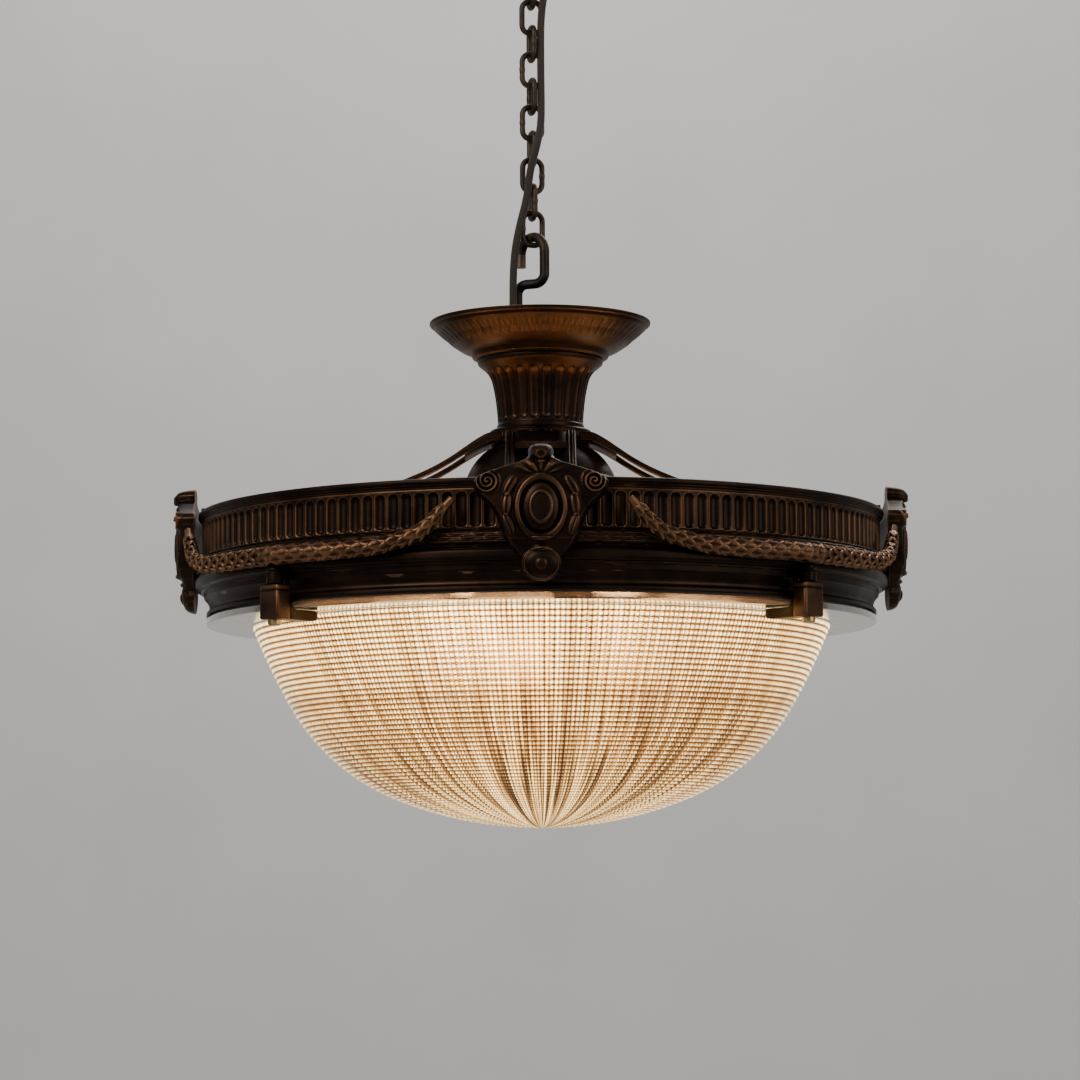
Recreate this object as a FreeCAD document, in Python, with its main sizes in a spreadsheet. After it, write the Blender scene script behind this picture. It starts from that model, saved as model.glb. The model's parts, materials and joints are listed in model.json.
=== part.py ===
import FreeCAD, Part

import math
import os

import Sketcher
from FreeCAD import Rotation, Vector

# A pendant ceiling light: a ceiling plate and eye, a chain of ten links with the supply flex woven
# through it, a pigtail hook, and the fixture itself: dish, fluted neck, hub, canopy, four arms, an
# ornamented ring and a prismatic glass bowl held by four swivelling clips.
# Everything above the hook is drawn about the chain's axis, from the plate's top face at height 0.
# The fixture is drawn about its own axis, from the top of its ring: fixture_shift and ring_drop
# place it. All lengths are in millimetres.

DRIVING = {
    "ring_drop": 428.0,
    "fixture_shift": 5.0,
    "plate_radius": 36.0,
    "plate_thickness": 4.0,
    "plate_hole_circle": 26.0,
    "plate_hole_radius": 2.25,
    "bush_radius": 5.0,
    "eye_wire_radius": 3.0,
    "eye_bend_radius": 11.0,
    "link_wire_radius": 2.05,
    "link_pitch": 19.5,
    "link_width": 18.5,
    "link_gap": 0.3,
    "link_crown_straight": 2.0,
    "first_link_rise": 209.0,
    "hook_wire_radius": 3.55,
    "hook_bend_radius": 12.0,
    "flex_radius": 2.75,
    "stem_radius": 6.0,
    "stem_top": 126.0,
    "stem_foot": -52.0,
    "dish_radius": 79.6,
    "dish_floor": 113.0,
    "neck_radius": 30.5,
    "neck_foot": 62.0,
    "hub_radius": 37.0,
    "hub_foot": 50.0,
    "arm_half_width": 25.0,
    "arm_half_gap": 18.5,
    "ring_radius": 245.0,
    "ring_inner_radius": 232.0,
    "frieze_top": -7.0,
    "laurel_top": -33.0,
    "base_top": -46.0,
    "lip_foot": -73.0,
    "gasket_thickness": 1.5,
    "flange_thickness": 5.0,
    "bowl_radius": 206.0,
    "bowl_depth": 222.5,
    "glass_thickness": 5.0,
    "clip_circle": 250.0,
    "clip_post_radius": 5.75,
    "clip_screw_radius": 2.5,
    "clip_toe_reach": 36.0,
    "garland_circle": 253.8,
    "garland_radius": 6.0,
    "canopy_radius": 55.0,
}
LINK_COUNT = 10
LAMP_ANGLES = (-100.0, 20.0, 140.0)
ARM_ANGLES = (0.0, 90.0, 180.0, 270.0)
CLIP_ANGLES = (45.0, 135.0, 225.0, 315.0)
RUNNING_CLEARANCE = 0.05
CHAIN_TWIST = 15.0
HOOK_TWIST = -45.0

doc = FreeCAD.newDocument("pendant_light")
sheet = doc.addObject("Spreadsheet::Sheet", "dimensions")
for row, (alias, value) in enumerate(DRIVING.items(), start=1):
    sheet.set(f"A{row}", alias)
    sheet.set(f"B{row}", str(value))
    sheet.setAlias(f"B{row}", alias)
doc.recompute()

sub_parts = []


def cell(name):
    """The value of a driving dimension."""
    return float(sheet.get(name))


def bind(thing, prop, expression):
    """Binds a property to the sheet. Every word of the expression that names a dimension is looked up."""
    words = expression.split()
    thing.setExpression(prop, " ".join(f"dimensions.{w}" if w in DRIVING else w for w in words))


def place(thing, fixture=True, angle=0.0):
    """Places a sub-part about the fixture's axis or the chain's, turned about that axis."""
    thing.Placement = FreeCAD.Placement(Vector(), Rotation(Vector(0, 0, 1), angle))
    if fixture:
        bind(thing, ".Placement.Base.x", "fixture_shift")
        bind(thing, ".Placement.Base.z", "0 - ring_drop")


def keep(thing, label):
    """Gives a sub-part its label and puts it on the list that is written."""
    thing.Label = label
    sub_parts.append(thing)
    return thing


def new_body(name):
    return doc.addObject("PartDesign::Body", name)


def new_sketch(body, name, plane, height=None):
    """A sketch on one of the body's own origin planes, moved along the plane's normal to a height."""
    sketch = body.newObject("Sketcher::SketchObject", name)
    support = next(f for f in body.Origin.OriginFeatures if f.Role == plane)
    sketch.AttachmentSupport = [(support, "")]
    sketch.MapMode = "FlatFace"
    if height:
        bind(sketch, ".AttachmentOffset.Base.z", height)
    return sketch


def coordinate(value):
    """A coordinate as a number and, if a driving dimension sets it, as an expression."""
    if isinstance(value, tuple):
        name, offset = value
        sign = -1 if name.startswith("- ") else 1
        start = "0 " if sign < 0 else ""
        return sign * cell(name.removeprefix("- ")) + offset, f"{start}{name} + {offset}"
    return float(value), None


def draw_outline(sketch, points):
    """A closed outline. A point is (x, y) or (x, y, bulge): the bulge is how far the stretch to the
    next point bows to its right, as an arc. A coordinate is a number or (dimension, offset), and
    ("- dimension", offset) is measured the other way."""
    spots = [(coordinate(p[0]), coordinate(p[1])) for p in points]
    places = [Vector(x[0], y[0], 0) for x, y in spots]
    ends = []
    for index, point in enumerate(points):
        start, end = places[index], places[(index + 1) % len(points)]
        bulge = point[2] if len(point) > 2 else 0
        if bulge:
            along = (end - start).normalize()
            middle = (start + end) * 0.5 + Vector(along.y, -along.x, 0) * bulge
            arc = Part.Arc(start, middle, end).toShape().Curve
            turn = (middle - start).cross(end - middle).z
            first, last = (start, end) if turn > 0 else (end, start)
            circle = Part.Circle(arc.Center, Vector(0, 0, 1), arc.Radius)
            piece = Part.ArcOfCircle(circle, circle.parameter(first), circle.parameter(last))
            sketch.addGeometry(piece)
            sketch.addConstraint(Sketcher.Constraint("Radius", index, arc.Radius))
            ends.append((1, 2) if turn > 0 else (2, 1))
        else:
            sketch.addGeometry(Part.LineSegment(start, end))
            ends.append((1, 2))
    for index, (x, y) in enumerate(spots):
        following = (index + 1) % len(points)
        sketch.addConstraint(
            Sketcher.Constraint("Coincident", index, ends[index][1], following, ends[following][0])
        )
        pin_point(sketch, index, ends[index][0], "DistanceX", x, -2)
        pin_point(sketch, index, ends[index][0], "DistanceY", y, -1)


def pin_point(sketch, geometry, end, kind, value, axis):
    """Holds one coordinate of a point: on the axis if it is zero, or at its distance."""
    number, expression = value
    if abs(number) < 1e-9:
        sketch.addConstraint(Sketcher.Constraint("PointOnObject", geometry, end, axis))
        return
    at = sketch.addConstraint(Sketcher.Constraint(kind, -1, 1, geometry, end, number))
    if expression:
        bind(sketch, f"Constraints[{at}]", expression)


def turned(label, points, fixture=True, angle=0.0, listed=True):
    """A body turned about the vertical axis from an outline of (radius, height) points."""
    body = new_body(label)
    sketch = new_sketch(body, label + "_outline", "XZ_Plane")
    draw_outline(sketch, points)
    turn = body.newObject("PartDesign::Revolution", label + "_turn")
    turn.Profile = sketch
    turn.ReferenceAxis = (sketch, ["V_Axis"])
    turn.Angle = 360
    place(body, fixture, angle)
    return keep(body, label) if listed else body


def drill(body, name, plane_height, radius, length, x=0.0, y=0.0):
    """A hole straight down from a height, bound to the sheet. It must remove something."""
    doc.recompute()
    before = body.Shape.Volume
    sketch = new_sketch(body, name + "_circle", "XY_Plane", plane_height)
    centre = Vector(coordinate(x)[0], coordinate(y)[0], 0)
    sketch.addGeometry(Part.Circle(centre, Vector(0, 0, 1), coordinate(radius)[0]))
    at = sketch.addConstraint(Sketcher.Constraint("Radius", 0, coordinate(radius)[0]))
    if coordinate(radius)[1]:
        bind(sketch, f"Constraints[{at}]", coordinate(radius)[1])
    pin_point(sketch, 0, 3, "DistanceX", coordinate(x), -2)
    pin_point(sketch, 0, 3, "DistanceY", coordinate(y), -1)
    hole = body.newObject("PartDesign::Pocket", name)
    hole.Profile = sketch
    hole.Length = length
    doc.recompute()
    if body.Shape.Volume > before - 1:
        raise RuntimeError(f"{name} cuts nothing")
    return hole


def cylinder(name, radius, length, base, direction=Vector(0, 0, 1)):
    """A Part cylinder. Radius and length are numbers or expressions."""
    thing = doc.addObject("Part::Cylinder", name)
    for prop, value in (("Radius", radius), ("Height", length)):
        if isinstance(value, str):
            bind(thing, prop, value)
        else:
            setattr(thing, prop, value)
    thing.Placement = FreeCAD.Placement(base, Rotation(Vector(0, 0, 1), direction))
    return thing


def joined(name, things):
    """One solid of several Part objects."""
    fused = doc.addObject("Part::MultiFuse", name)
    fused.Shapes = things
    fused.Refine = True
    return fused


def cut(name, base, tool):
    result = doc.addObject("Part::Cut", name)
    result.Base = base
    result.Tool = tool
    return result


def rounded_path(points):
    """Straight runs joined by tangent arcs, each arc as large as its two runs allow. A point may
    carry its own bend radius as a fourth value. Returns the wire and its smallest radius."""
    spots = [Vector(*p[:3]) for p in points]
    edges, last, radii = [], spots[0], []
    for index in range(1, len(spots) - 1):
        back = spots[index - 1] - spots[index]
        ahead = spots[index + 1] - spots[index]
        half_turn = (math.pi - back.getAngle(ahead)) / 2
        own = points[index][3] if len(points[index]) > 3 else None
        radius = own or 0.45 * min(back.Length, ahead.Length) / math.tan(half_turn)
        reach = radius * math.tan(half_turn)
        back.normalize()
        ahead.normalize()
        start, end = spots[index] + back * reach, spots[index] + ahead * reach
        inward = (back + ahead).normalize()
        centre = spots[index] + inward * (radius / math.cos(half_turn))
        if (start - last).Length > 1e-6:
            edges.append(Part.LineSegment(last, start).toShape())
        edges.append(Part.Arc(start, centre - inward * radius, end).toShape())
        last = end
        radii.append(radius)
    edges.append(Part.LineSegment(last, spots[-1]).toShape())
    return Part.Wire(edges), min(radii)


def swept(label, points, radius, fixture=False, angle=0.0):
    """A round wire, bar or cord along a path. Its volume must be its section times its length."""
    path, tightest = rounded_path(points)
    first = path.Edges[0]
    begin = first.FirstParameter
    circle = Part.makeCircle(radius, first.valueAt(begin), first.tangentAt(begin))
    solid = path.makePipeShell([Part.Wire([circle])], True, True)
    expected = math.pi * radius**2 * path.Length
    if abs(solid.Volume / expected - 1) > 0.01:
        raise RuntimeError(f"{label} has volume {solid.Volume:.0f}, not {expected:.0f}")
    print(f"{label}: length {path.Length:.1f}, tightest bend {tightest:.1f}")
    thing = doc.addObject("Part::Feature", label)
    thing.Shape = solid
    place(thing, fixture, angle)
    return keep(thing, label)


def group(label, pieces):
    """Identical separate solids that share one sub-part."""
    thing = doc.addObject("Part::Compound", label)
    thing.Links = pieces
    return keep(thing, label)


# ---- the flex's route ------------------------------------------------------------------------

DROP = cell("ring_drop")


def beside_chain(across, ahead, height):
    """A point beside the chain: across and in front of the links, which stand twisted."""
    turn = math.radians(CHAIN_TWIST)
    x = across * math.cos(turn) - ahead * math.sin(turn)
    y = across * math.sin(turn) + ahead * math.cos(turn)
    return (x, y, height)


FLEX_ROUTE = [
    (13, -13, 0),
    (13, -13, -20),
    beside_chain(10.2, -8.6, -36),
    beside_chain(5.5, -5.7, -58),
    beside_chain(5.2, -5.4, -96),
    beside_chain(5.5, -5.6, 302 - DROP),
    beside_chain(4.2, -9.6, 284 - DROP),
    beside_chain(0, -13.6, 267.5 - DROP),
    beside_chain(-4.4, -10.2, 250 - DROP),
    beside_chain(-5.6, -6.6, 231 - DROP),
    (-10.2, -7.6, 207 - DROP),
    (-14.0, -7.2, 184 - DROP),
    (-14.4, -7.2, 144 - DROP),
    (-14.2, -7.0, 104 - DROP),
    (-14.4, -7.2, 64 - DROP),
    (-14.4, -7.2, 31 - DROP),
]
FLEX_X = FLEX_ROUTE[-1][0] - cell("fixture_shift")
FLEX_Y = FLEX_ROUTE[-1][1]

# ---- ceiling plate, eye and bush -------------------------------------------------------------


def make_ceiling_plate():
    """A round plate with three screw holes, the eye's threaded hole and the flex bush's hole."""
    body = turned(
        "ceiling_plate",
        [
            (0, 0),
            (0, ("- plate_thickness", 0)),
            (("plate_radius", -3), ("- plate_thickness", 0), 0.8),
            (("plate_radius", 0), -1.2),
            (("plate_radius", 0), 0),
        ],
        fixture=False,
    )
    drill(body, "eye_hole", None, ("eye_wire_radius", 0), 20)
    spot = FLEX_ROUTE[0]
    drill(body, "bush_hole", None, ("bush_radius", 0), 20, spot[0], spot[1])
    hole = drill(body, "screw_hole", None, ("plate_hole_radius", 0), 20, 0, ("plate_hole_circle", 0))
    ring = body.newObject("PartDesign::PolarPattern", "screw_holes")
    ring.Originals = [hole]
    axis = next(f for f in body.Origin.OriginFeatures if f.Role == "Z_Axis")
    ring.Axis = (axis, [""])
    ring.Angle = 360
    ring.Occurrences = 3
    body.Tip = ring


def make_ceiling_eye():
    """The eye bolt that the top link hangs from: its shank fills the plate's threaded hole."""
    bend = cell("eye_bend_radius")
    centre = EYE_CENTRE
    ring = doc.addObject("Part::Torus", "eye_ring")
    bind(ring, "Radius1", "eye_bend_radius")
    bind(ring, "Radius2", "eye_wire_radius")
    ring.Placement = FreeCAD.Placement(Vector(0, 0, centre), Rotation(Vector(1, 0, 0), 90))
    shank = cylinder("eye_shank", "eye_wire_radius", -(centre + bend), Vector(0, 0, centre + bend))
    shoulder = doc.addObject("Part::Cone", "eye_shoulder")
    bind(shoulder, "Radius1", "eye_wire_radius + 0.3")
    bind(shoulder, "Radius2", "eye_wire_radius + 2.5")
    shoulder.Height = 2.5
    shoulder.Placement.Base = Vector(0, 0, centre + bend + 1.1)
    eye = joined("ceiling_eye", [ring, shank, shoulder])
    place(eye, False, CHAIN_TWIST)
    keep(eye, "ceiling_eye")


def hexagon_nut(label, across_corners, bore, height, base, fixture=True):
    """A hexagon nut about the axis, standing on a base height."""
    prism = doc.addObject("Part::Prism", label + "_blank")
    prism.Polygon = 6
    prism.Circumradius = across_corners / 2
    prism.Height = height
    prism.Placement.Base = Vector(0, 0, base)
    bore_tool = cylinder(label + "_bore", bore, height + 2, Vector(0, 0, base - 1))
    nut = cut(label, prism, bore_tool)
    place(nut, fixture)
    return keep(nut, label)


def make_flex_bush():
    """A flanged bush that lines the flex's hole through the ceiling plate."""
    spot = FLEX_ROUTE[0]
    thick = cell("plate_thickness")
    body = turned(
        "flex_bush",
        [
            (("flex_radius", RUNNING_CLEARANCE), 0),
            (("flex_radius", RUNNING_CLEARANCE), -thick - 5),
            (("flex_radius", 1.4), -thick - 5, 0.3),
            (("flex_radius", 1.9), -thick - 2),
            (("bush_radius", 1.5), -thick - 2),
            (("bush_radius", 1.5), -thick),
            (("bush_radius", 0), -thick),
            (("bush_radius", 0), 0),
        ],
        fixture=False,
    )
    body.Placement.Base = Vector(spot[0], spot[1], 0)


# ---- chain -----------------------------------------------------------------------------------

LINK_WIRE = cell("link_wire_radius")
LINK_HALF = (cell("link_pitch") + cell("link_gap")) / 2 + LINK_WIRE
FIRST_LINK = cell("first_link_rise") - cell("ring_drop")
TOP_CROWN = FIRST_LINK + (LINK_COUNT - 1) * cell("link_pitch") + LINK_HALF
EYE_BOTTOM_WIRE = TOP_CROWN - LINK_WIRE - cell("eye_wire_radius") - cell("link_gap")
EYE_CENTRE = EYE_BOTTOM_WIRE + cell("eye_bend_radius")
HOOK_CROWN = FIRST_LINK - LINK_HALF + LINK_WIRE + cell("hook_wire_radius") + cell("link_gap")


def make_link(number):
    """One welded link: two legs and two crowns, each crown with a short straight stretch at its
    middle. The first link is the lowest and faces along Y; every other one is turned by 90 degrees."""
    half_width = cell("link_width") / 2 - LINK_WIRE
    corner = half_width - cell("link_crown_straight") / 2
    leg = 2 * (LINK_HALF - corner)
    name = f"link_{number:02d}"
    pieces = []
    for side in (-1, 1):
        foot = Vector(side * half_width, 0, -leg / 2)
        pieces.append(cylinder(f"{name}_leg_{side + 2}", "link_wire_radius", leg, foot))
        start = Vector(-cell("link_crown_straight") / 2, 0, side * LINK_HALF)
        crown = cylinder(f"{name}_crown_{side + 2}", "link_wire_radius", "link_crown_straight", start)
        crown.Placement.Rotation = Rotation(Vector(0, 1, 0), 90)
        pieces.append(crown)
    for quarter in range(4):
        bend = doc.addObject("Part::Torus", f"{name}_bend_{quarter}")
        bend.Radius1 = corner
        bind(bend, "Radius2", "link_wire_radius")
        bend.Angle3 = 90
        turn = Rotation(Vector(1, 0, 0), 90).multiply(Rotation(Vector(0, 0, 1), 90 * quarter))
        right = 1 if quarter in (0, 3) else -1
        upper = 1 if quarter in (0, 1) else -1
        middle = Vector(right * (half_width - corner), 0, upper * leg / 2)
        bend.Placement = FreeCAD.Placement(middle, turn)
        pieces.append(bend)
    link = joined(f"chain_link_{number:02d}", pieces)
    height = FIRST_LINK + (number - 1) * cell("link_pitch")
    quarter_turn = CHAIN_TWIST + 90 * ((number - 1) % 2)
    link.Placement = FreeCAD.Placement(Vector(0, 0, height), Rotation(Vector(0, 0, 1), quarter_turn))
    bind(link, ".Placement.Base.z", f"first_link_rise - ring_drop + {number - 1} * link_pitch")
    keep(link, f"chain_link_{number:02d}")


# ---- hook ------------------------------------------------------------------------------------


def make_hook():
    """A pigtail hook: its threaded shank stands in the stem, steps sideways inside the dish, and
    the open eye comes back over the chain's axis. The last link's wire lies across its crown."""
    axis = cell("fixture_shift")
    bend = cell("hook_bend_radius")
    side = bend * math.cos(math.radians(HOOK_TWIST))
    depth = bend * math.sin(math.radians(HOOK_TWIST))
    crown_radius = bend * (1 - 1e-4)
    points = [
        (axis, 0, 107 - DROP),
        (axis, 0, 130 - DROP, 8),
        (-11, 1, 147 - DROP, 8),
        (-11, 1, 168 - DROP, 7),
        (side, depth, 168 - DROP, 7.5),
        (side, depth, HOOK_CROWN, crown_radius),
        (-side, -depth, HOOK_CROWN, crown_radius),
        (-side, -depth, 182 - DROP),
    ]
    swept("suspension_hook", points, cell("hook_wire_radius"))


# ---- dish, neck, hub and stem ----------------------------------------------------------------


def make_dish():
    """The shallow dish above the neck, open upwards, with mouldings on its underside."""
    body = turned(
        "top_dish",
        [
            (0, 117),
            (0, ("dish_floor", 0)),
            (("neck_radius", 15.5), ("dish_floor", 0)),
            (("neck_radius", 18.3), 114.6, 0.6),
            (("neck_radius", 18.8), 118.6),
            (("dish_radius", -23.6), 121.6, 0.8),
            (("dish_radius", -13), 128.2, 1.2),
            (("dish_radius", -4), 133.6),
            (("dish_radius", -2.4), 136, 1.2),
            (("dish_radius", 0), 138.4, 0.8),
            (("dish_radius", -1.4), 140.4, 0.5),
            (("dish_radius", -4), 139.2),
            (("dish_radius", -14), 132.4, -1.2),
            (("dish_radius", -26), 124.6, -0.8),
            (("dish_radius", -36), 117, 0),
        ],
    )
    drill(body, "dish_stem_hole", "stem_top", ("stem_radius", 0), 40)
    drill(body, "dish_flex_hole", "stem_top", ("flex_radius", 0.6), 40, FLEX_X, FLEX_Y)


def make_neck():
    """The trumpet-shaped neck, hollow, with a closed top and vertical flutes round its waist."""
    body = turned(
        "fluted_neck",
        [
            (0, 113),
            (0, 109),
            (("neck_radius", -2.5), 109),
            (("neck_radius", -4), 92, -2),
            (("neck_radius", -5), ("neck_foot", 0)),
            (("neck_radius", 0), ("neck_foot", 0), -1.5),
            (("neck_radius", 4.8), 99.5, -2.2),
            (("neck_radius", 14), 110),
            (("neck_radius", 14), 113),
        ],
    )
    drill(body, "neck_stem_hole", "stem_top", ("stem_radius", 0), 40)
    drill(body, "neck_flex_hole", "stem_top", ("flex_radius", 0.6), 40, FLEX_X, FLEX_Y)


def make_hub():
    """The moulded disc under the neck that the four arms are fixed to."""
    body = turned(
        "arm_hub",
        [
            (0, ("neck_foot", 0)),
            (0, ("hub_foot", 0)),
            (("hub_radius", -4), ("hub_foot", 0), 1),
            (("hub_radius", 0), 53.5),
            (("hub_radius", 0), 58.5, 1),
            (("hub_radius", -4), ("neck_foot", 0)),
        ],
    )
    drill(body, "hub_stem_hole", "neck_foot", ("stem_radius", 0), 40)
    drill(body, "hub_flex_hole", "neck_foot", ("flex_radius", 0.6), 40, FLEX_X, FLEX_Y)


def make_canopy():
    """A thin bell under the hub that covers the wiring, clamped between the hub and its nut."""
    body = turned(
        "wiring_canopy",
        [
            (0, ("hub_foot", 0)),
            (0, ("hub_foot", -2)),
            (("hub_radius", -3.5), ("hub_foot", -2), -1.2),
            (("canopy_radius", -9), 38, -0.8),
            (("canopy_radius", -2), 22),
            (("canopy_radius", 0), 22, 0.8),
            (("canopy_radius", -7), 38.5, 1.2),
            (("hub_radius", -2), ("hub_foot", 0)),
        ],
    )
    drill(body, "canopy_stem_hole", "hub_foot", ("stem_radius", 0), 40)
    drill(body, "canopy_flex_hole", "hub_foot", ("flex_radius", 0.6), 40, FLEX_X, FLEX_Y)


def make_stem():
    """The threaded rod that holds dish, neck, hub and lamp plate together, bored for the hook."""
    rod = cylinder("stem_rod", "stem_radius", "stem_top - stem_foot", Vector(0, 0, cell("stem_foot")))
    bore = cylinder("stem_bore", "hook_wire_radius", 40, Vector(0, 0, 107))
    stem = cut("central_stem", rod, bore)
    place(stem)
    keep(stem, "central_stem")


# ---- arms ------------------------------------------------------------------------------------


def make_arm(number, angle):
    """An openwork arm: two thin straps on one curve, joined where they meet the hub and the ring."""
    label = f"arm_{number}"
    body = new_body(label)
    side = new_sketch(body, label + "_side", "XZ_Plane")
    draw_outline(
        side,
        [
            (("hub_radius", -13), 51.5),
            (("hub_radius", 2), 51.5),
            (("hub_radius", 23), 39),
            (95, 21.4, 6.5),
            (("ring_radius", -16), 0.02),
            (("ring_radius", -4), 0.02),
            (("ring_radius", -4), 4.5),
            (("ring_radius", -16), 4.8, -6.2),
            (95, 25.6, -1.0),
            (("hub_radius", 23), 43.3, -0.4),
            (("hub_radius", 1), 58),
            (("hub_radius", -13), 58),
        ],
    )
    pad = body.newObject("PartDesign::Pad", label + "_pad")
    pad.Profile = side
    pad.Midplane = True
    bind(pad, "Length", "2 * arm_half_width")
    gap = new_sketch(body, label + "_gap", "XY_Plane")
    draw_outline(
        gap,
        [
            (("hub_radius", 17), ("- arm_half_gap", 0)),
            (("ring_radius", -18), ("- arm_half_gap", 0)),
            (("ring_radius", -18), ("arm_half_gap", 0)),
            (("hub_radius", 17), ("arm_half_gap", 0)),
        ],
    )
    pocket = body.newObject("PartDesign::Pocket", label + "_pocket")
    pocket.Profile = gap
    pocket.Type = 1
    pocket.Midplane = True
    hub_face = new_sketch(body, label + "_hub_face", "XY_Plane")
    radius = cell("hub_radius") + 0.02
    hub_face.addGeometry(Part.Circle(Vector(), Vector(0, 0, 1), radius))
    at = hub_face.addConstraint(Sketcher.Constraint("Radius", 0, radius))
    bind(hub_face, f"Constraints[{at}]", "hub_radius + 0.02")
    hub_face.addConstraint(Sketcher.Constraint("Coincident", 0, 3, -1, 1))
    seat = body.newObject("PartDesign::Pocket", label + "_seat")
    seat.Profile = hub_face
    seat.Type = 1
    seat.Midplane = True
    place(body, True, angle)
    keep(body, label)


# ---- ring ------------------------------------------------------------------------------------


def make_ring():
    """The ring's four castings, from the top: cornice, frieze, laurel band and base moulding."""
    inner = "ring_inner_radius"
    turned(
        "cornice_ring",
        [
            ((inner, 0), ("frieze_top", 0)),
            (("ring_radius", -5), ("frieze_top", 0), -1.2),
            (("ring_radius", -0.6), -2.6, 0.5),
            (("ring_radius", -0.6), 0),
            ((inner, 0), 0),
        ],
    )
    turned(
        "fluted_frieze",
        [
            ((inner, 4), ("laurel_top", 0)),
            (("ring_radius", -3.5), ("laurel_top", 0)),
            (("ring_radius", -3.5), ("frieze_top", 0)),
            ((inner, 4), ("frieze_top", 0)),
        ],
    )
    turned(
        "laurel_band",
        [
            ((inner, 2), ("base_top", 0)),
            (("ring_radius", -4), ("base_top", 0), 5.4),
            (("ring_radius", -4), ("laurel_top", 0)),
            ((inner, 2), ("laurel_top", 0)),
        ],
    )
    turned(
        "base_moulding",
        [
            ((inner, 0), ("lip_foot", 0)),
            (("ring_radius", -7), ("lip_foot", 0)),
            (("ring_radius", -7), -70.5, -1.6),
            (("ring_radius", -5), -60.5),
            (("ring_radius", -5), -56),
            (("ring_radius", -2), -55, 3.2),
            (("ring_radius", -2), ("base_top", 0)),
            ((inner, 2), ("base_top", 0)),
        ],
    )


def make_cartouche(number, angle):
    """A shield-shaped ornament that stands over the ring's outside, with a crest above the cornice."""
    label = f"cartouche_{number}"
    body = new_body(label + "_blank")
    front = new_sketch(body, label + "_front", "YZ_Plane")
    draw_outline(
        front,
        [
            (0, -69, 3),
            (16, -58, -1.5),
            (25, -36, -2.5),
            (44, -17, 2.5),
            (43, 0, -1.5),
            (26, 8, 2),
            (13, 20, 2),
            (-13, 20, 2),
            (-26, 8, -1.5),
            (-43, 0, 2.5),
            (-44, -17, -2.5),
            (-25, -36, -1.5),
            (-16, -58, 3),
        ],
    )
    pad = body.newObject("PartDesign::Pad", label + "_pad")
    pad.Profile = front
    bind(pad, "Length", "ring_radius + 17")
    ring_tool = cylinder(label + "_tool", "ring_radius + 2.2", 120, Vector(0, 0, -90))
    shell = cut(label, body, ring_tool)
    place(shell, True, angle)
    keep(shell, label)


def on_circle(radius, degrees, height):
    """A point at a radius, an angle about the axis and a height."""
    turn = math.radians(degrees)
    return Vector(radius * math.cos(turn), radius * math.sin(turn), height)


def make_garland(number, angle):
    """A swag between two cartouches: a level run round the ring that rises steeply at both ends."""
    circle = cell("garland_circle")
    half = [(12.6, -13), (17.5, -35.5), (24, -43.5), (31, -45), (38, -45)]
    stations = half + [(45, -45)] + [(90 - degrees, height) for degrees, height in reversed(half)]
    points = [tuple(on_circle(circle, degrees, height)) for degrees, height in stations]
    swept(f"garland_{number}", points, cell("garland_radius"), True, angle)


# ---- glass and its clips ---------------------------------------------------------------------


def make_glass():
    """The gasket under the ring's lip and the bowl: a flat clear flange and a prismatic basin."""
    flange_top = cell("lip_foot") - cell("gasket_thickness")
    flange_foot = flange_top - cell("flange_thickness")
    turned(
        "glass_gasket",
        [
            (("ring_inner_radius", -6), ("lip_foot", 0)),
            (("ring_inner_radius", -6), flange_top),
            (("ring_inner_radius", 4), flange_top),
            (("ring_inner_radius", 4), ("lip_foot", 0)),
        ],
    )
    thick = cell("glass_thickness")
    turned(
        "glass_bowl",
        [
            (0, ("- bowl_depth", 0), 5),
            (("bowl_radius", -102.7), -202.5, 9),
            (("bowl_radius", -25.7), -134, 0.9),
            (("bowl_radius", 0), flange_foot),
            (("ring_radius", -8), flange_foot, 0.8),
            (("ring_radius", -8), flange_top),
            (("bowl_radius", -thick), flange_top),
            (("bowl_radius", -thick), flange_foot, -0.8),
            (("bowl_radius", -30.5), -132, -8.6),
            (("bowl_radius", -104.6), -197.8, -4.8),
            (0, ("- bowl_depth", thick)),
        ],
    )


def make_clip_posts():
    """The fixed half of each clip: a post with a lug that is let into the base moulding."""
    circle = cell("clip_circle")
    top, foot = -52.2, -64.0
    moulding = doc.getObjectsByLabel("base_moulding")[0]
    for number, angle in enumerate(CLIP_ANGLES, start=1):
        label = f"clip_post_{number}"
        post = cylinder(label + "_post", "clip_post_radius", top - foot, Vector(circle, 0, foot))
        lug = doc.addObject("Part::Box", label + "_lug")
        lug.Length = 14
        lug.Width = 9
        lug.Height = 7.5
        lug.Placement.Base = Vector(circle - 14, -4.5, foot + 0.5)
        blank = joined(label + "_blank", [post, lug])
        bore = cylinder(label + "_bore", "clip_screw_radius", 10, Vector(circle, 0, foot - 1))
        drilled = cut(label + "_drilled", blank, bore)
        place(drilled, True, angle)
        fitted = cut(label, drilled, moulding)
        keep(fitted, label)


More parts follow.
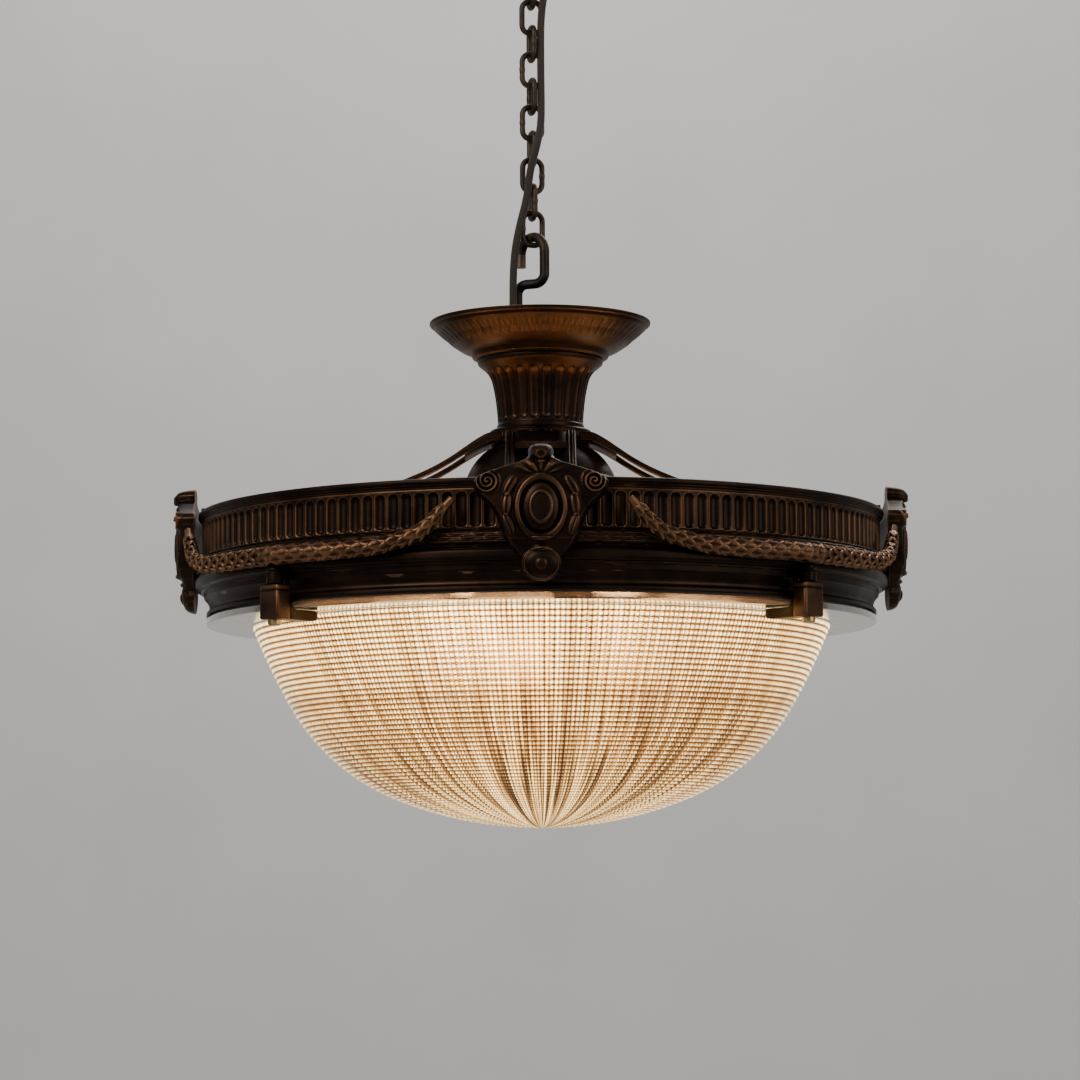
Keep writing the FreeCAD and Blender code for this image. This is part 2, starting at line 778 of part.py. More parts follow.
def make_clips():
    """The turning half of each clip: a barrel on the screw and a toe that reaches under the flange."""
    circle = cell("clip_circle")
    top, toe_top, foot = -64.4, -79.9, -87.2
    width = 11
    nose_circle = circle - cell("clip_toe_reach") + 5
    bore_radius = f"clip_screw_radius + {RUNNING_CLEARANCE}"
    for number, angle in enumerate(CLIP_ANGLES, start=1):
        label = f"glass_clip_{number}"
        barrel = cylinder(label + "_barrel", "clip_post_radius", top - foot, Vector(circle, 0, foot))
        toe = doc.addObject("Part::Box", label + "_toe")
        bind(toe, "Length", "clip_toe_reach - 5")
        toe.Width = width
        toe.Height = toe_top - foot
        toe.Placement.Base = Vector(nose_circle, -width / 2, foot)
        nose = cylinder(label + "_nose", width / 2, toe_top - foot, Vector(nose_circle, 0, foot))
        blank = joined(label + "_blank", [barrel, toe, nose])
        bore = cylinder(label + "_bore", bore_radius, 40, Vector(circle, 0, foot - 10))
        clip = cut(label, blank, bore)
        place(clip, True, angle)
        keep(clip, label)


def make_clip_screws():
    """Four shoulder screws, from below through each clip into its post."""
    circle = cell("clip_circle")
    pieces = []
    for number, angle in enumerate(CLIP_ANGLES, start=1):
        name = f"clip_screw_{number}"
        shank = cylinder(name + "_shank", "clip_screw_radius", 31.5, Vector(circle, 0, -87.5))
        head = cylinder(name + "_head", 4.6, 2.6, Vector(circle, 0, -90.1))
        rim = doc.addObject("Part::Cone", name + "_rim")
        rim.Radius1 = 3.4
        rim.Radius2 = 4.6
        rim.Height = 1.2
        rim.Placement.Base = Vector(circle, 0, -91.3)
        whole = joined(name + "_whole", [shank, head, rim])
        slot = doc.addObject("Part::Box", name + "_slot")
        slot.Length = 12
        slot.Width = 1.1
        slot.Height = 1.2
        slot.Placement.Base = Vector(circle - 6, -0.55, -91.4)
        screw = cut(name, whole, slot)
        place(screw, True, angle)
        pieces.append(screw)
    group("clip_screws", pieces)


# ---- lamps -----------------------------------------------------------------------------------

LAMP_TILT = 18.0
LAMP_HEIGHT = -34.0


def lamp_placement(angle, along):
    """A placement whose Z axis points outwards along a lamp, a distance along it from the stem."""
    outward = Rotation(Vector(0, 0, 1), angle).multVec(Vector(1, 0, 0))
    tilt = math.radians(LAMP_TILT)
    direction = outward * math.cos(tilt) - Vector(0, 0, math.sin(tilt))
    base = Vector(cell("fixture_shift"), 0, LAMP_HEIGHT - DROP) + direction * along
    return FreeCAD.Placement(base, Rotation(Vector(0, 0, 1), direction))


def make_lamp_plate():
    """The small cluster body on the stem's foot, with three flat faces that carry the lampholders."""
    axis = cell("fixture_shift")
    base = cylinder("lamp_plate_core", 30, 22, Vector(axis, 0, LAMP_HEIGHT - 13 - DROP))
    for number, angle in enumerate(LAMP_ANGLES, start=1):
        trim = doc.addObject("Part::Box", f"lamp_plate_trim_{number}")
        trim.Length = 80
        trim.Width = 80
        trim.Height = 40
        seat = lamp_placement(angle, 27)
        trim.Placement = seat.multiply(FreeCAD.Placement(Vector(-40, -40, 0), Rotation()))
        base = cut(f"lamp_plate_cut_{number}", base, trim)
    bore = cylinder("lamp_plate_bore", "stem_radius", 60, Vector(axis, 0, -DROP - 80))
    keep(cut("lamp_plate", base, bore), "lamp_plate")


def make_lamp(number, angle):
    """A lampholder with a shade ring, and the bulb screwed into it."""
    holder = turned(
        f"lampholder_{number}",
        [
            (0, 0),
            (14, 0),
            (14, 6, 0.6),
            (19.5, 12),
            (19.5, 40),
            (22, 41),
            (22, 45),
            (19.5, 46),
            (19.5, 52),
            (17.2, 52),
            (17.2, 50),
            (13.1, 50),
            (13.1, 22),
            (0, 22),
        ],
        fixture=False,
    )
    holder.Placement = lamp_placement(angle, 27.02)
    bulb = turned(
        f"bulb_{number}",
        [
            (0, 22.1),
            (8, 22.1),
            (12.9, 25),
            (12.9, 50),
            (14.5, 56, -2.5),
            (26, 85, 4),
            (26, 115, 3.2),
            (4, 129),
            (0, 129),
        ],
        fixture=False,
    )
    bulb.Placement = lamp_placement(angle, 27.02)


def make_terminal_block():
    """The terminal block under the hub, where the supply flex ends."""
    block = doc.addObject("Part::Box", "terminal_block")
    block.Length = 16
    block.Width = 30
    block.Height = 14
    base = Vector(FLEX_X + cell("fixture_shift") - 8, FLEX_Y - 12, 17 - DROP)
    block.Placement.Base = base
    keep(block, "terminal_block")
    hole = cylinder("bracket_hole", "stem_radius", 20, Vector(cell("fixture_shift"), 0, 5 - DROP))
    wide = doc.addObject("Part::Box", "bracket_blank")
    wide.Length = abs(FLEX_X) + 20
    wide.Width = 20
    wide.Height = 2
    wide.Placement.Base = Vector(FLEX_X + cell("fixture_shift") - 8, -10, 15 - DROP)
    keep(cut("terminal_bracket_plate", wide, hole), "terminal_bracket")


make_ceiling_plate()
make_ceiling_eye()
hexagon_nut("eye_nut", 15, "eye_wire_radius", 5, -cell("plate_thickness") - 5, fixture=False)
make_flex_bush()
for link_number in range(1, LINK_COUNT + 1):
    make_link(link_number)
swept("supply_flex", FLEX_ROUTE, cell("flex_radius"))
make_hook()
hexagon_nut("hook_nut", 22, "stem_radius", 7, 117)
hexagon_nut("stem_nut", 22, "stem_radius", 7, cell("hub_foot") - 9)
hexagon_nut("lamp_nut", 22, "stem_radius", 5, cell("stem_foot"))
make_dish()
make_neck()
make_hub()
make_canopy()
make_stem()
for arm_number, arm_angle in enumerate(ARM_ANGLES, start=1):
    make_arm(arm_number, arm_angle)
make_ring()
for ornament_number, ornament_angle in enumerate(ARM_ANGLES, start=1):
    make_cartouche(ornament_number, ornament_angle)
    make_garland(ornament_number, ornament_angle)
make_glass()
make_clip_posts()
make_clips()
make_clip_screws()
make_lamp_plate()
for lamp_number, lamp_angle in enumerate(LAMP_ANGLES, start=1):
    make_lamp(lamp_number, lamp_angle)
make_terminal_block()

doc.recompute()
failed = [o.Label for o in doc.Objects if "Invalid" in o.State or "Error" in o.State]
if failed:
    raise RuntimeError(f"failed to compute: {failed}")
os.makedirs("parts", exist_ok=True)
for part in sub_parts:
    if part.Shape.isNull() or not part.Shape.isValid():
        raise RuntimeError(f"{part.Label} has no valid shape")
    part.Shape.exportStep(os.path.join("parts", part.Label + ".step"))
    print(f"{part.Label}: {len(part.Shape.Solids)} solid, {part.Shape.Volume / 1000:.2f} cm3")
print(f"{len(sub_parts)} sub-parts")
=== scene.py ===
import json
import math

import bpy
import numpy as np
from mathutils import Matrix, Vector


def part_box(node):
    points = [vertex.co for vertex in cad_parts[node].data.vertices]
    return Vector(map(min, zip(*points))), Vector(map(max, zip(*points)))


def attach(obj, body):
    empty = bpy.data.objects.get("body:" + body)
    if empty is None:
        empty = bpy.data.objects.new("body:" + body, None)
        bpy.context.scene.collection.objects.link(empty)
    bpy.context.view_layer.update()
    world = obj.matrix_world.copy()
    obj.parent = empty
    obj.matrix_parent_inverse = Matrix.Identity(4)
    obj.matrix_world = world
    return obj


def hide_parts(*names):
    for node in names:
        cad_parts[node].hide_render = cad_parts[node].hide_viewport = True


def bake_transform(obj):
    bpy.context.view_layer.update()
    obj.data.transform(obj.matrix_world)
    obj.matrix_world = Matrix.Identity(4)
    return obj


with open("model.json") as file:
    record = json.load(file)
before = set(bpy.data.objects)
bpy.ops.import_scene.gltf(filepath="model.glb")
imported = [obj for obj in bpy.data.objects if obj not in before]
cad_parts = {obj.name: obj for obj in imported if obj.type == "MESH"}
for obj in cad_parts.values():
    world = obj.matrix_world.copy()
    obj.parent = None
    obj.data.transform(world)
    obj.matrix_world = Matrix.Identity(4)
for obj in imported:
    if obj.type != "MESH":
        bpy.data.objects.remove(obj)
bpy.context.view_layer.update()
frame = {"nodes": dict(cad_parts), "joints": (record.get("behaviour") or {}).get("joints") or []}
nodes = frame["nodes"]
joints = {j["name"]: j for j in frame["joints"]}

MM = 0.001
BOWL_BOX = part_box("glass_bowl")
AXIS_X = (BOWL_BOX[0].x + BOWL_BOX[1].x) / 2
RING_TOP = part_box("cornice_ring")[1].z
CHAIN_TWIST = math.radians(15)
LINK_COUNT = 10
ORNAMENT_ANGLES = (0, 90, 180, 270)
CLIP_ANGLES = (45, 135, 225, 315)
LAMP_ANGLES = (-100, 20, 140)


# ---- camera

CAMERA_DISTANCE = 2.426
CAMERA_BELOW_RING = 0.266
CAMERA_PITCH, CAMERA_ROLL = 5.86, -0.29


def put(name, data):
    """A new object in the scene."""
    thing = bpy.data.objects.new(name, data)
    bpy.context.scene.collection.objects.link(thing)
    return thing


camera = put("camera", bpy.data.cameras.new("camera"))
camera.data.lens = 113.5
camera.data.sensor_width = 36
camera.data.clip_start, camera.data.clip_end = 0.05, 60
camera.matrix_world = (
    Matrix.Translation((AXIS_X - 0.0008, -CAMERA_DISTANCE, RING_TOP - CAMERA_BELOW_RING))
    @ Matrix.Rotation(math.radians(90 + CAMERA_PITCH), 4, "X")
    @ Matrix.Rotation(math.radians(CAMERA_ROLL), 4, "Z")
)
bpy.context.scene.camera = camera


# ---- mesh helpers


class Shell:
    """Points and faces of one piece, gathered from several patches."""

    def __init__(self):
        self.points, self.faces, self.count = [], [], 0

    def add(self, points, faces):
        points = np.asarray(points, float).reshape(-1, 3)
        self.points.append(points)
        self.faces.append(np.asarray(faces, int) + self.count)
        self.count += len(points)

    def build(self, name, material, slot, body=None, replaces=()):
        mesh = bpy.data.meshes.new(name)
        points = np.vstack(self.points)
        faces = [tuple(f) for block in self.faces for f in block.tolist()]
        mesh.from_pydata(points.tolist(), [], faces)
        mesh.validate()
        mesh.polygons.foreach_set("use_smooth", [True] * len(mesh.polygons))
        mesh.update()
        piece = put(name, mesh)
        mesh.materials.append(material)
        if body:
            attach(piece, body)
        if replaces:
            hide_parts(*replaces)
        return piece


def grid_faces(rows, columns, close_rows=False, close_columns=True):
    """Quads of a grid of points, row after row, optionally closed either way."""
    r = np.arange(rows if close_rows else rows - 1)
    c = np.arange(columns if close_columns else columns - 1)
    rr, cc = np.meshgrid(r, c, indexing="ij")
    r2, c2 = (rr + 1) % rows, (cc + 1) % columns
    quads = np.stack([rr * columns + cc, rr * columns + c2, r2 * columns + c2, r2 * columns + cc], -1)
    return quads.reshape(-1, 4)


def rounded(corners, steps=4):
    """A closed outline of (r, z) with each corner rounded by its own third value."""
    out = []
    count = len(corners)
    for i, corner in enumerate(corners):
        here = np.array(corner[:2], float)
        size = corner[2] if len(corner) > 2 else 0
        if not size:
            out.append(here)
            continue
        back = np.array(corners[i - 1][:2], float) - here
        ahead = np.array(corners[(i + 1) % count][:2], float) - here
        start = here + back / np.linalg.norm(back) * min(size, np.linalg.norm(back) * 0.49)
        end = here + ahead / np.linalg.norm(ahead) * min(size, np.linalg.norm(ahead) * 0.49)
        for t in np.linspace(0, 1, steps + 1):
            out.append((1 - t) ** 2 * start + 2 * t * (1 - t) * here + t * t * end)
    return np.array(out)


def profile(corners, steps, longest):
    """A rounded outline with its runs longer than a limit cut into equal steps."""
    outline = rounded(corners, steps)
    out = []
    for a, b in zip(outline, np.roll(outline, -1, 0)):
        pieces = max(1, int(math.ceil(np.linalg.norm(b - a) / longest)))
        out += [a + (b - a) * k / pieces for k in range(pieces)]
    return np.array(out)


def around(radius, angle, height):
    """Points at a radius (mm), an angle about the fixture's axis and a height over the ring's top (mm)."""
    return np.stack(
        [AXIS_X + radius * np.cos(angle) * MM, radius * np.sin(angle) * MM, RING_TOP + height * MM], -1
    )


def turned(reach, side, height, degrees):
    """Points (mm) by radius, sideways offset and height, turned about the fixture's axis."""
    a = math.radians(degrees)
    reach, side, height = np.broadcast_arrays(reach, side, height)
    return np.stack([
        AXIS_X + (reach * math.cos(a) - side * math.sin(a)) * MM,
        (reach * math.sin(a) + side * math.cos(a)) * MM,
        RING_TOP + height * MM,
    ], -1)


def running_length(line):
    """The length along a line of points, at each of them."""
    return np.concatenate([[0], np.cumsum(np.linalg.norm(np.diff(line, axis=0), axis=1))])


def border_of(rows, columns):
    """The grid's outer points in order, and each one's successor."""
    border = (
        [(0, c) for c in range(columns)] + [(r, columns - 1) for r in range(1, rows)]
        + [(rows - 1, c) for c in range(columns - 2, -1, -1)] + [(r, 0) for r in range(rows - 2, 0, -1)]
    )
    index = np.array([r * columns + c for r, c in border])
    return index, np.roll(index, -1)


def revolved(shell, outline, angles, relief=None):
    """A closed outline (mm) turned about the fixture's axis; relief(angle, r, z) adds to the radius."""
    angle, r = np.meshgrid(angles, outline[:, 0], indexing="xy")
    z = np.repeat(outline[:, 1][:, None], len(angles), axis=1)
    if relief is not None:
        dr, dz = relief(angle, r, z)
        r, z = r + dr, z + dz
    shell.add(around(r, angle, z), grid_faces(len(outline), len(angles), close_rows=True))


def turn(columns):
    return np.arange(columns) * 2 * math.pi / columns


def tube(shell, path, radius, sections=16, closed=False, relief=None, caps=True):
    """A tube along points in metres; radius is one value or one for each point."""
    path = np.asarray(path, float)
    count = len(path)
    radius = np.broadcast_to(np.asarray(radius, float), (count,))
    if closed:
        tangent = np.roll(path, -1, 0) - np.roll(path, 1, 0)
    else:
        tangent = np.gradient(path, axis=0)
    tangent /= np.linalg.norm(tangent, axis=1)[:, None]
    normal = np.zeros_like(path)
    first = np.cross(tangent[0], [0.31, 0.62, 0.72])
    normal[0] = first / np.linalg.norm(first)
    for i in range(1, count):
        n = normal[i - 1] - tangent[i] * (normal[i - 1] @ tangent[i])
        normal[i] = n / np.linalg.norm(n)
    side = np.cross(tangent, normal)
    a = turn(sections)
    ring = radius[:, None] * (relief if relief is not None else np.ones((count, sections)))
    points = (
        path[:, None, :]
        + ring[..., None] * (np.cos(a)[None, :, None] * normal[:, None, :]
                             + np.sin(a)[None, :, None] * side[:, None, :])
    )
    shell.add(points, grid_faces(count, sections, close_rows=closed))
    if caps and not closed:
        here = np.arange(sections)
        after, middle = np.roll(here, -1), np.full(sections, sections)
        for end, fan in ((0, (after, here, middle)), (count - 1, (here, after, middle))):
            shell.add(np.vstack([points[end], path[end][None, :]]), np.stack(fan, 1))


def closed_run(shell, points):
    """A run of closed sections, with a flat cap at each end."""
    rows, columns = points.shape[:2]
    shell.add(points, grid_faces(rows, columns))
    for end, order in ((0, 1), (rows - 1, -1)):
        cap = [(i, (i + 1) % columns, columns)[::order] for i in range(columns)]
        shell.add(np.vstack([points[end], points[end].mean(0)[None, :]]), cap)


def unit(value):
    return np.clip(value, 0, 1)


def in_cell(angle, count):
    """Where an angle lies in one of count equal cells round the axis, -0.5..0.5."""
    return (angle / (2 * math.pi) * count) % 1 - 0.5


# ---- materials


class Nodes:
    """Short calls for building one node tree."""

    def __init__(self, name):
        self.material = bpy.data.materials.new(name)
        self.material.use_nodes = True
        self.tree = self.material.node_tree
        self.tree.nodes.clear()
        self.output = self.new("OutputMaterial")
        self.place = self.new("TexCoord").outputs["Object"]

    def new(self, kind, **values):
        node = self.tree.nodes.new("ShaderNode" + kind)
        for key, value in values.items():
            setattr(node, key, value)
        return node

    def link(self, source, target):
        self.tree.links.new(source, target)

    def feed(self, socket, value):
        if isinstance(value, bpy.types.NodeSocket):
            self.link(value, socket)
        else:
            socket.default_value = value

    def noise(self, scale, detail=3.0, roughness=0.55, vector=None, distortion=0.0):
        node = self.new("TexNoise")
        self.feed(node.inputs["Vector"], vector or self.place)
        settings = {"Scale": scale, "Detail": detail, "Roughness": roughness, "Distortion": distortion}
        for name, number in settings.items():
            node.inputs[name].default_value = number
        return node.outputs["Fac"]

    def ramp(self, value, *stops):
        node = self.new("ValToRGB")
        self.link(value, node.inputs["Fac"])
        elements = node.color_ramp.elements
        while len(elements) < len(stops):
            elements.new(0.5)
        for element, (position, colour) in zip(elements, stops):
            element.position = position
            element.color = (*colour, 1)
        return node.outputs["Color"]

    def mix(self, factor, a, b):
        node = self.new("Mix", data_type="RGBA")
        self.feed(node.inputs["Factor"], factor)
        for socket, value in ((node.inputs["A"], a), (node.inputs["B"], b)):
            self.feed(socket, value if isinstance(value, bpy.types.NodeSocket) else (*value, 1))
        return node.outputs["Result"]

    def math(self, operation, a, b=0.0):
        node = self.new("Math", operation=operation)
        self.feed(node.inputs[0], a)
        self.feed(node.inputs[1], b)
        return node.outputs[0]

    def times(self, a, b):
        return self.math("MULTIPLY", a, b)

    def plus(self, a, b):
        return self.math("ADD", a, b)

    def span(self, value, low, high, to_low=0.0, to_high=1.0):
        node = self.new("MapRange")
        self.feed(node.inputs["Value"], value)
        for name, number in (("From Min", low), ("From Max", high), ("To Min", to_low), ("To Max", to_high)):
            node.inputs[name].default_value = number
        return node.outputs["Result"]

    def bump(self, height, strength, distance):
        node = self.new("Bump")
        self.link(height, node.inputs["Height"])
        node.inputs["Strength"].default_value = strength
        node.inputs["Distance"].default_value = distance
        return node.outputs["Normal"]

    def principled(self, **values):
        node = self.new("BsdfPrincipled")
        for key, value in values.items():
            self.feed(node.inputs[key.replace("_", " ")], value)
        return node

    def finish(self, shader):
        self.link(shader, self.output.inputs["Surface"])
        return self.material

    def split(self, vector):
        node = self.new("SeparateXYZ")
        self.link(vector, node.inputs[0])
        return node.outputs

    def surface(self, **values):
        return self.finish(self.principled(**values).outputs[0])


def metal(name, deep, mid, wear_and_highlight_colour, rough=(0.3, 0.52), metallic=0.9, grain=1.0):
    """Patinated metal: cloudy patina, darker in crevices, convex edges brighter from wear and a painted
    highlight, fine cast grain.
    """
    n = Nodes(name)
    clouds = n.noise(38, 5, 0.62)
    stains = n.noise(9, 3, 0.5)
    speckle = n.noise(420, 3, 0.6)
    patina = n.ramp(clouds, (0.32, deep), (0.72, mid))
    patina = n.mix(n.span(stains, 0.42, 0.72, 0.0, 0.45), patina, deep)
    edge = n.new("NewGeometry").outputs["Pointiness"]
    # Convex edges turn to the brighter copper: partly edge wear, partly a painted highlight.
    wear_and_highlight = n.span(edge, 0.505, 0.56)
    wear_and_highlight = n.times(wear_and_highlight, n.span(clouds, 0.3, 0.6, 0.35, 1.0))
    colour = n.mix(wear_and_highlight, patina, wear_and_highlight_colour)
    crevice = n.span(edge, 0.495, 0.44)
    colour = n.mix(n.times(crevice, 0.7), colour, tuple(v * 0.4 for v in deep))
    roughness = n.span(n.plus(clouds, n.times(speckle, 0.35)), 0.35, 0.95, *rough)
    height = n.plus(n.times(speckle, 0.5), clouds)
    return n.surface(
        Base_Color=colour,
        Roughness=roughness,
        Metallic=metallic,
        Normal=n.bump(height, 0.22 * grain, 0.0006),
    )


def moulded(name, light, dark, rough=(0.35, 0.5)):
    """Moulded plastic or glazed ceramic with a faint mottling."""
    n = Nodes(name)
    mottle = n.noise(160, 4, 0.6)
    colour = n.ramp(mottle, (0.3, dark), (0.7, light))
    return n.surface(
        Base_Color=colour,
        Roughness=n.span(mottle, 0.3, 0.7, *rough),
        Normal=n.bump(n.noise(900, 2), 0.08, 0.0003),
    )


# Each metal's third colour is the brighter copper of its convex edges: partly edge wear, partly a painted
# highlight.
BRONZE = metal("bronze", (0.012, 0.0072, 0.005), (0.046, 0.0225, 0.0125), (0.27, 0.135, 0.068))
IRON = metal("iron", (0.012, 0.010, 0.009), (0.045, 0.034, 0.026), (0.20, 0.15, 0.11), (0.38, 0.6), 0.85)
BRASS = metal("brass", (0.10, 0.062, 0.026), (0.30, 0.19, 0.075), (0.72, 0.50, 0.24), (0.25, 0.42), 1.0, 0.5)
PLASTIC = moulded("dark_plastic", (0.040, 0.034, 0.030), (0.020, 0.017, 0.015))
CERAMIC = moulded("glazed_ceramic", (0.80, 0.77, 0.70), (0.66, 0.62, 0.54), (0.12, 0.22))


def felt_material():
    n = Nodes("felt")
    fibres = n.noise(1400, 5, 0.7, distortion=1.5)
    colour = n.ramp(fibres, (0.3, (0.05, 0.04, 0.03)), (0.7, (0.13, 0.10, 0.08)))
    return n.surface(
        Base_Color=colour, Roughness=n.span(fibres, 0.2, 0.8, 0.85, 1.0), Normal=n.bump(fibres, 0.5, 0.0006)
    )


FELT = felt_material()


def build_bronze(shell, name, node, body="fixture"):
    return shell.build(name, BRONZE, "patinated_bronze", body, [node])


def build_turned_bronze(name, node, outline, columns, relief=None):
    """A bronze piece turned about the fixture's axis."""
    shell = Shell()
    revolved(shell, outline, turn(columns), relief)
    build_bronze(shell, name, node)


BRAID_THREADS = 8


def braid_material():
    """Braided cotton over the flex: crossed threads read from the u, v of the tube."""
    n = Nodes("braided_cotton")
    uv = n.new("UVMap")
    uv.uv_map = "around_along"
    turns, along, _ = n.split(uv.outputs["UV"])
    one = n.math("SINE", n.times(n.plus(turns, along), 2 * math.pi * BRAID_THREADS))
    two = n.math("SINE", n.times(n.math("SUBTRACT", turns, along), 2 * math.pi * BRAID_THREADS))
    weave = n.times(one, two)
    fuzz = n.noise(2200, 3, 0.7)
    tone = n.plus(n.span(weave, -1, 1, 0.0, 0.7), n.times(fuzz, 0.4))
    colour = n.ramp(tone, (0.2, (0.014, 0.010, 0.008)), (0.9, (0.075, 0.052, 0.036)))
    return n.surface(
        Base_Color=colour,
        Roughness=n.span(fuzz, 0.3, 0.7, 0.75, 0.95),
        Sheen_Weight=0.35,
        Sheen_Roughness=0.5,
        Normal=n.bump(tone, 0.6, 0.0004),
    )


BRAID = braid_material()


def bulb_material():
    """Pearl glass lit from within, its glow and tint varying in soft clouds."""
    n = Nodes("lit_pearl_glass")
    cloud = n.noise(55, 3, 0.5)
    tint = n.ramp(cloud, (0.35, (1.0, 0.66, 0.36)), (0.7, (1.0, 0.80, 0.54)))
    return n.surface(
        Base_Color=n.mix(0.5, tint, (0.95, 0.86, 0.72)),
        Roughness=n.span(cloud, 0.3, 0.7, 0.25, 0.35),
        Emission_Color=tint,
        Emission_Strength=n.span(cloud, 0.3, 0.7, 7.0, 10.0),
    )


BULB = bulb_material()

GLASS_FLUTES = 360


def prism_glass_material():
    """Pressed glass lit from within: each prism glows by its painted light, cut up by the upright
    flutes behind it and by long dark streaks that close in towards the pole."""
    n = Nodes("prismatic_glass")
    glow = n.new("Attribute", attribute_name="glow").outputs["Fac"]
    pole = n.new("Attribute", attribute_name="depth_down").outputs["Fac"]
    x, y, z = n.split(n.place)
    angle = n.math("ARCTAN2", y, n.math("SUBTRACT", x, AXIS_X))
    flute = n.math("COSINE", n.times(angle, GLASS_FLUTES))
    line = n.span(flute, -1.0, 0.1, 0.42, 1.0)
    streak_place = n.new("CombineXYZ")
    lean = n.times(z, 9.0)
    n.link(n.plus(n.times(angle, 30.0), lean), streak_place.inputs[0])
    n.link(n.times(z, 6.0), streak_place.inputs[2])
    streak = n.noise(1.7, 3, 0.55, streak_place.outputs[0], 0.5)
    dark = n.span(streak, 0.38, 0.56, 0.26, 1.15)
    faint = n.span(streak, 0.36, 0.60, 0.82, 1.10)
    off_pole = n.math("SUBTRACT", 1.0, pole)
    streaks = n.plus(n.times(dark, pole), n.times(faint, off_pole))
    ripple = n.noise(900, 3, 0.6)
    level = n.times(n.times(glow, line), streaks)
    level = n.times(level, n.span(ripple, 0.3, 0.7, 0.80, 1.2))
    colour = n.ramp(
        level,
        (0.0, (0.032, 0.013, 0.004)),
        (0.18, (0.16, 0.072, 0.020)),
        (0.38, (0.62, 0.36, 0.110)),
        (0.60, (1.0, 0.74, 0.32)),
        (0.88, (1.0, 0.92, 0.62)),
    )
    emission = n.new("Emission")
    n.link(colour, emission.inputs["Color"])
    n.link(n.span(level, 0.10, 0.95, 0.16, 7.0), emission.inputs["Strength"])
    glass = n.principled(
        Base_Color=n.mix(0.35, colour, (0.28, 0.17, 0.09)),
        Roughness=n.span(ripple, 0.3, 0.7, 0.08, 0.16),
        IOR=1.4,
        Transmission_Weight=0.3,
        Normal=n.bump(ripple, 0.12, 0.0003),
    )
    total = n.new("AddShader")
    n.link(emission.outputs[0], total.inputs[0])
    n.link(glass.outputs[0], total.inputs[1])
    return n.finish(total.outputs[0])


PRISM_GLASS = prism_glass_material()


# ---- the flex


def beside_chain(a, b, z):
    """A point (mm) beside the chain, in its twisted frame."""
    c, s = math.cos(CHAIN_TWIST), math.sin(CHAIN_TWIST)
    return (a * c - b * s, a * s + b * c, z)


DROP = -RING_TOP / MM
FLEX_ROUTE = [
    (13, -13, 0),
    (13, -13, -20),
    beside_chain(10.2, -8.6, -36),
    beside_chain(5.5, -5.7, -58),
    beside_chain(5.2, -5.4, -96),
    beside_chain(5.5, -5.6, 302 - DROP),
    beside_chain(4.2, -9.6, 284 - DROP),
    beside_chain(0, -13.6, 267.5 - DROP),
    beside_chain(-4.4, -10.2, 250 - DROP),
    beside_chain(-5.6, -6.6, 231 - DROP),
    (-10.2, -7.6, 207 - DROP),
    (-14.0, -7.2, 184 - DROP),
    (-14.4, -7.2, 144 - DROP),
    (-14.2, -7.0, 104 - DROP),
    (-14.4, -7.2, 64 - DROP),
    (-14.4, -7.2, 31 - DROP),
]
FLEX_RADIUS = 2.75
FLEX_STEP = 0.0006
FLEX_SECTIONS = 40
BRAID_DEPTH = 0.018


def spline_points(route):
    """Points along the NURBS spline whose control points are the route, in metres."""
    curve = bpy.data.curves.new("route", "CURVE")
    curve.dimensions = "3D"
    curve.resolution_u = 24
    spline = curve.splines.new("NURBS")
    spline.points.add(len(route) - 1)
    for point, spot in zip(spline.points, route):
        point.co = (*(v * MM for v in spot), 1)
    spline.order_u = 3
    spline.use_endpoint_u = True
    holder = put("route", curve)
    bpy.context.view_layer.update()
    mesh = bpy.data.meshes.new_from_object(holder)
    line = np.array([v.co for v in mesh.vertices])
    bpy.data.objects.remove(holder)
    bpy.data.meshes.remove(mesh)
    return line


def even_steps(line, step):
    """The same line at even steps of its length."""
    run = running_length(line)
    marks = np.linspace(0, run[-1], max(2, int(round(run[-1] / step)) + 1))
    return np.stack([np.interp(marks, run, line[:, k]) for k in range(3)], 1), marks


